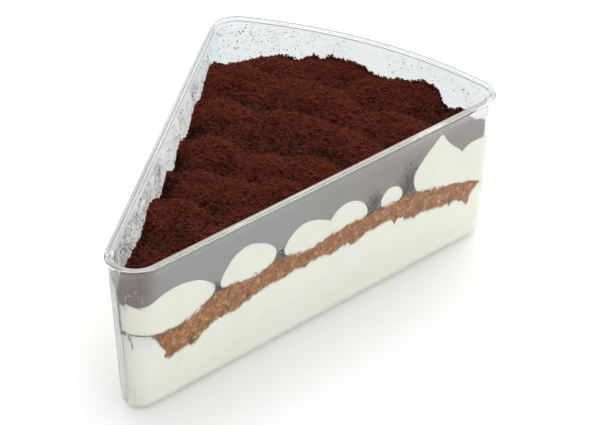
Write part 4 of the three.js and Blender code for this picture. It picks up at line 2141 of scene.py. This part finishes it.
@dataclass
class Films:
    """The films on the plastic.

    On the inside above the layers there is a dull bloom in front and a faint veil elsewhere. There is
    painted shade on the outside of the tip's far half, and painted light and shade in the rolled rim
    in place of its refraction.
    """

    layers: Layers
    spacing: float = 0.6
    high: float = 36.45
    rows: int = 34
    gap: float = 0.05
    left_edge: Pairs = ((20.0, 16.4), (28.0, 16.45), (30.5, 16.4), (33.0, 16.2), (35.0, 15.9), (36.2, 15.4))
    right_edge: Pairs = (
        (27.0, 118.3), (32.8, 118.1), (33.4, 117.2), (33.9, 115.2), (35.0, 113.9), (36.5, 111.4),
    )
    bloom_low: float = 20.0
    veil_low: float = 21.0
    # Painted shade on the outside of the tip's far half: its lowest height and its tone.
    tip_shade_low: float = 1.9
    tip_shade_tone: tuple = (0.40, 0.40, 0.39, 1.0)
    # Tones of the rim's painted refraction: painted light for its bands in front, behind and beside, and
    # painted shade for its edge lines.
    warm: tuple = (0.47, 0.41, 0.37, 1.0)
    clear: tuple = (0.37, 0.40, 0.40, 1.0)
    dust_and_rim_light: tuple = (0.29, 0.29, 0.28, 1.0)
    grey: tuple = (0.16, 0.17, 0.17, 1.0)

    def build(self) -> None:
        """Every film, from the front wall's bloom to the lines along the rim."""
        self._bloom()
        self._veil()
        self._tip_shade()
        self._rim_light()

    def _bloom(self) -> None:
        """The front film, with uneven edges."""
        wedge = self.layers.wedge
        outline = wedge.trace(0.3)
        noise = Unevenness(61)
        # Stations of the left edge are on the far half of the tip, so they count back from its middle.
        middle = float(outline.run_at(np.array([TIP_STATION]), Side.FRONT)[0])
        quarter = float(outline.run_at(np.array([wedge.tip_end]), Side.FRONT)[0]) - middle
        left, right = curve_through(self.left_edge), curve_through(self.right_edge)
        columns = 180
        share = np.linspace(0.0, 1.0, columns)
        rows = []
        for t in np.linspace(0.0, 1.0, self.rows):
            guess = self.bloom_low + (self.high - self.bloom_low) * t
            back = (left(guess) - TIP_STATION) / (wedge.tip_end - TIP_STATION) * quarter
            start = middle - back + 0.15 * noise.at(guess, 0.0, 1.1, 2)
            end = outline.run_at(right(guess) + 0.35 * noise.at(guess, 9.0, 1.0, 2), Side.FRONT)
            run = start + (float(end) - start) * share
            station = TIP_STATION + np.maximum(run - middle, 0.0) / quarter * (wedge.tip_end - TIP_STATION)
            station = np.where(station > wedge.tip_end, wedge.tip_end + run - middle - quarter, station)
            low = self.layers.top(station, np.full_like(station, Side.FRONT.value)) - 0.3
            z = low + (self.high - low) * t
            rows.append(outline.on_wall(run, wedge.inner(z) + self.gap, z))
        surface = Surface(wedge)
        surface.grid(np.array(rows), closed=False)
        film = surface.build("wall_bloom", Bloom().material(wedge, float(surface.shift[0])))
        settle(film, Slot.CLEAR_PLASTIC)

    def _veil(self) -> None:
        """The film on the curved and the far wall."""
        wedge = self.layers.wedge
        outline = wedge.trace(0.3)
        start = float(outline.run_at(np.array([119.3]), Side.FRONT)[0])
        end = float(outline.run_at(np.array([20.8]), Side.FAR)[0])
        run = np.linspace(start, end, 420)
        surface = Surface(wedge)
        rows = []
        for z in np.linspace(self.veil_low, self.high + 0.3, self.rows):
            rows.append(outline.on_wall(run, wedge.inner(np.full_like(run, z)) + self.gap, z))
        surface.grid(np.array(rows), closed=False)
        film = surface.build("wall_veil", Veil().material(wedge, float(surface.shift[0])))
        settle(film, Slot.CLEAR_PLASTIC)

    def _tip_shade(self) -> None:
        """Painted shade on the outside of the tip's far half, where the round tip turns from the light. It
        runs out towards the straight side.
        """
        wedge = self.layers.wedge
        heights = np.linspace(self.tip_shade_low, wedge.height - 1.5, 12)
        profile = [(float(wedge.outer(z)) - 0.03, float(z)) for z in heights]
        fade = (wedge.tip_x - 4.4, wedge.tip_x - 2.2)
        ends = ((20.25, Side.FAR), (15.6, Side.FAR))
        # Painted shade that makes the tip's far half look turned from the light.
        self._strip(profile, ends, PaintedFilm("tip_painted_shade", self.tip_shade_tone, 0.34, fade))

    def _rim_light(self) -> None:
        """The rim's painted refraction: a painted pale band inside it in front, a clearer one behind, a
        grey one beside, and painted dark lines on its edges.
        """
        wedge = self.layers.wedge
        inside = wedge.lip_out + wedge.wall
        low, top = wedge.height - 0.95, wedge.height - 0.14
        crown = ((0.4, top - 0.03), (0.5, top), (inside - 0.3, top))
        body = (*crown, (inside - 0.1, top - 0.15), (inside - 0.1, low + 0.5))
        short_body = (*crown, (inside - 0.15, top - 0.05))
        inner_edge = ((inside + 0.01, low - 0.02), (inside - 0.04, low + 0.20))
        outer_edge = ((0.06, low + 0.15), (0.03, low + 0.6), (0.25, top + 0.02))
        front = ((19.0, Side.FAR), (119.5, Side.FRONT))
        behind = ((119.5, Side.FRONT), (117.0, Side.FAR))
        beside = ((117.0, Side.FAR), (20.8, Side.FAR))
        # Painted highlight bands along the rim, then painted shade lines along its edges, in place of the
        # rim's own refraction.
        self._strip(body, front, PaintedFilm("rim_front_light", self.warm, 0.75))
        self._strip(short_body, behind, PaintedFilm("rim_back", self.clear, 0.60))
        self._strip(body, beside, PaintedFilm("rim_side", self.dust_and_rim_light, 0.60))
        self._strip(outer_edge, behind, PaintedFilm("rim_line", self.grey, 0.36))
        self._strip(inner_edge, beside, PaintedFilm("side_edge", self.grey, 0.66))
        self._strip(outer_edge, beside, PaintedFilm("side_line", self.grey, 0.55))

    def _strip(self, profile: Pairs, ends: tuple[WallPlace, WallPlace], finish: PaintedFilm) -> None:
        """A strip along part of the wall, named for its finish.

        Args:
            profile: (inset, height) across the strip.
            ends: station and side where it starts and where it stops.
            finish: its finish.
        """
        outline = self.layers.wedge.trace(0.3)
        start, end = (float(outline.run_at(np.array([station]), side)[0]) for station, side in ends)
        run = np.linspace(start, end, 500)
        surface = Surface(self.layers.wedge)
        rows = [outline.on_wall(run, np.full_like(run, inset), z) for inset, z in profile]
        surface.grid(np.array(rows), closed=False)
        film = surface.build(finish.name, finish.material(float(surface.shift[0])))
        settle(film, Slot.CLEAR_PLASTIC)


# ---- The studio ----


@dataclass(frozen=True)
class Lamp:
    """A square soft light that looks at a point. Places are in metres."""

    name: str
    place: tuple[float, float, float]
    aim: tuple[float, float, float]
    size: float
    power: float

    def build(self) -> None:
        """Hangs the light."""
        data = bpy.data.lights.new(self.name, "AREA")
        data.size = self.size
        data.energy = self.power
        light = bpy.data.objects.new(self.name, data)
        bpy.context.scene.collection.objects.link(light)
        light.location = self.place
        towards = Vector(self.aim) - Vector(self.place)
        light.rotation_euler = towards.to_track_quat("-Z", "Y").to_euler()


@dataclass
class Studio:
    """A pale floor, soft light from above and behind, and the camera. Sizes are in metres and degrees."""

    target: tuple[float, float, float] = (0.0252, 0.0025, 0.0048)
    distance: float = 0.5772
    azimuth: float = -61.26
    elevation: float = 32.88
    roll: float = 0.36
    lens: float = 148.8
    film_width: float = 36.0
    floor_size: float = 1.6
    floor_drop: float = 0.0002
    floor_dark: tuple = (0.93, 0.93, 0.93, 1.0)
    floor_light: tuple = (0.95, 0.95, 0.95, 1.0)
    lamps: tuple[Lamp, ...] = (
        Lamp("fill_light", (-0.20, -0.58, 0.36), (0.0, 0.0, 0.01), 0.5, 0.8),
        Lamp("back_light", (0.50, 0.10, 0.60), (0.03, 0.0, 0.01), 0.5, 1.2),
    )
    bright_side: tuple[float, float, float] = (0.5, 0.15, 0.85)
    sky_strength: float = 2.0
    sky: tuple = (
        (0.0, (0.10, 0.10, 0.105, 1.0)),
        (0.35, (0.33, 0.33, 0.333, 1.0)),
        (0.75, (0.62, 0.62, 0.62, 1.0)),
        (1.0, (1.0, 1.0, 1.0, 1.0)),
    )

    def build(self) -> None:
        """Sets everything up."""
        self._floor()
        self._world()
        for lamp in self.lamps:
            lamp.build()
        self._camera()
        bpy.context.scene.view_settings.view_transform = "Standard"

    def _floor(self) -> None:
        """A plain pale floor with a faint grain."""
        shader = Shader("studio_floor")
        colour = shader.mix(shader.noise(60.0, 2.0), self.floor_dark, self.floor_light)
        paper = shader.principled(Base_Color=colour, Roughness=0.9, Specular_IOR_Level=0.1)
        material = shader.finish(paper)
        half = self.floor_size / 2
        mesh = bpy.data.meshes.new("studio_floor")
        corners = [(-half, -half, 0.0), (half, -half, 0.0), (half, half, 0.0), (-half, half, 0.0)]
        mesh.from_pydata(corners, [], [(0, 1, 2, 3)])
        mesh.materials.append(material)
        floor = bpy.data.objects.new("studio_floor", mesh)
        bpy.context.scene.collection.objects.link(floor)
        floor.location.z = -self.floor_drop
        floor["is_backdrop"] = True

    def _world(self) -> None:
        """A pale surround that is brighter above the back and darker near the horizon."""
        world = bpy.data.worlds.new("studio")
        bpy.context.scene.world = world
        world.use_nodes = True
        tree = Tree(world.node_tree)
        way = tree.add("ShaderNodeTexCoord", output="Generated")
        bright = Vector(self.bright_side).normalized()
        dot = {"operation": "DOT_PRODUCT"}
        towards = tree.add("ShaderNodeVectorMath", dot, {0: way, 1: bright}, "Value")
        glow = tree.add("ShaderNodeValToRGB", {"stops": self.sky}, {0: towards})
        background = world.node_tree.nodes["Background"]
        background.inputs["Strength"].default_value = self.sky_strength
        world.node_tree.links.new(glow.socket, background.inputs["Color"])

    def _camera(self) -> None:
        """The camera, turned a little about its own axis."""
        azimuth, elevation = math.radians(self.azimuth), math.radians(self.elevation)
        back = Vector(
            (
                math.sin(azimuth) * math.cos(elevation),
                -math.cos(azimuth) * math.cos(elevation),
                math.sin(elevation),
            )
        )
        right = Vector((0.0, 0.0, 1.0)).cross(back).normalized()
        up = back.cross(right)
        turn = math.radians(self.roll)
        cos, sin = math.cos(turn), math.sin(turn)
        right, up = right * cos + up * sin, up * cos - right * sin
        data = bpy.data.cameras.new("camera")
        data.lens = self.lens
        data.sensor_width = self.film_width
        data.clip_start, data.clip_end = 0.01, 10.0
        camera = bpy.data.objects.new("camera", data)
        bpy.context.scene.collection.objects.link(camera)
        turned = Matrix((right, up, back)).transposed().to_4x4()
        camera.matrix_world = Matrix.Translation(Vector(self.target) + back * self.distance) @ turned
        bpy.context.scene.camera = camera


def main() -> None:
    """Builds the whole object and its studio, and works out both boxes."""
    logging.basicConfig(level=logging.INFO, format="%(message)s")
    wedge = Wedge.from_model()
    layers = Layers(wedge)
    Tub(wedge).build()
    BaseCream(layers).build()
    Sponge(layers).build()
    Ropes(wedge).build()
    surface = CocoaHeight(wedge)
    Cocoa(wedge, layers, surface).build()
    WallCocoa(wedge, surface).build()
    Crumbs(layers).build()
    Droplets(wedge).build()
    Films(layers).build()
    Studio().build()
    boxes = {"cad": CAD_BOX, "visual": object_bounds()}
    {name: [list(corner) for corner in box] for name, box in boxes.items()}


if __name__ == "__main__":
    main()
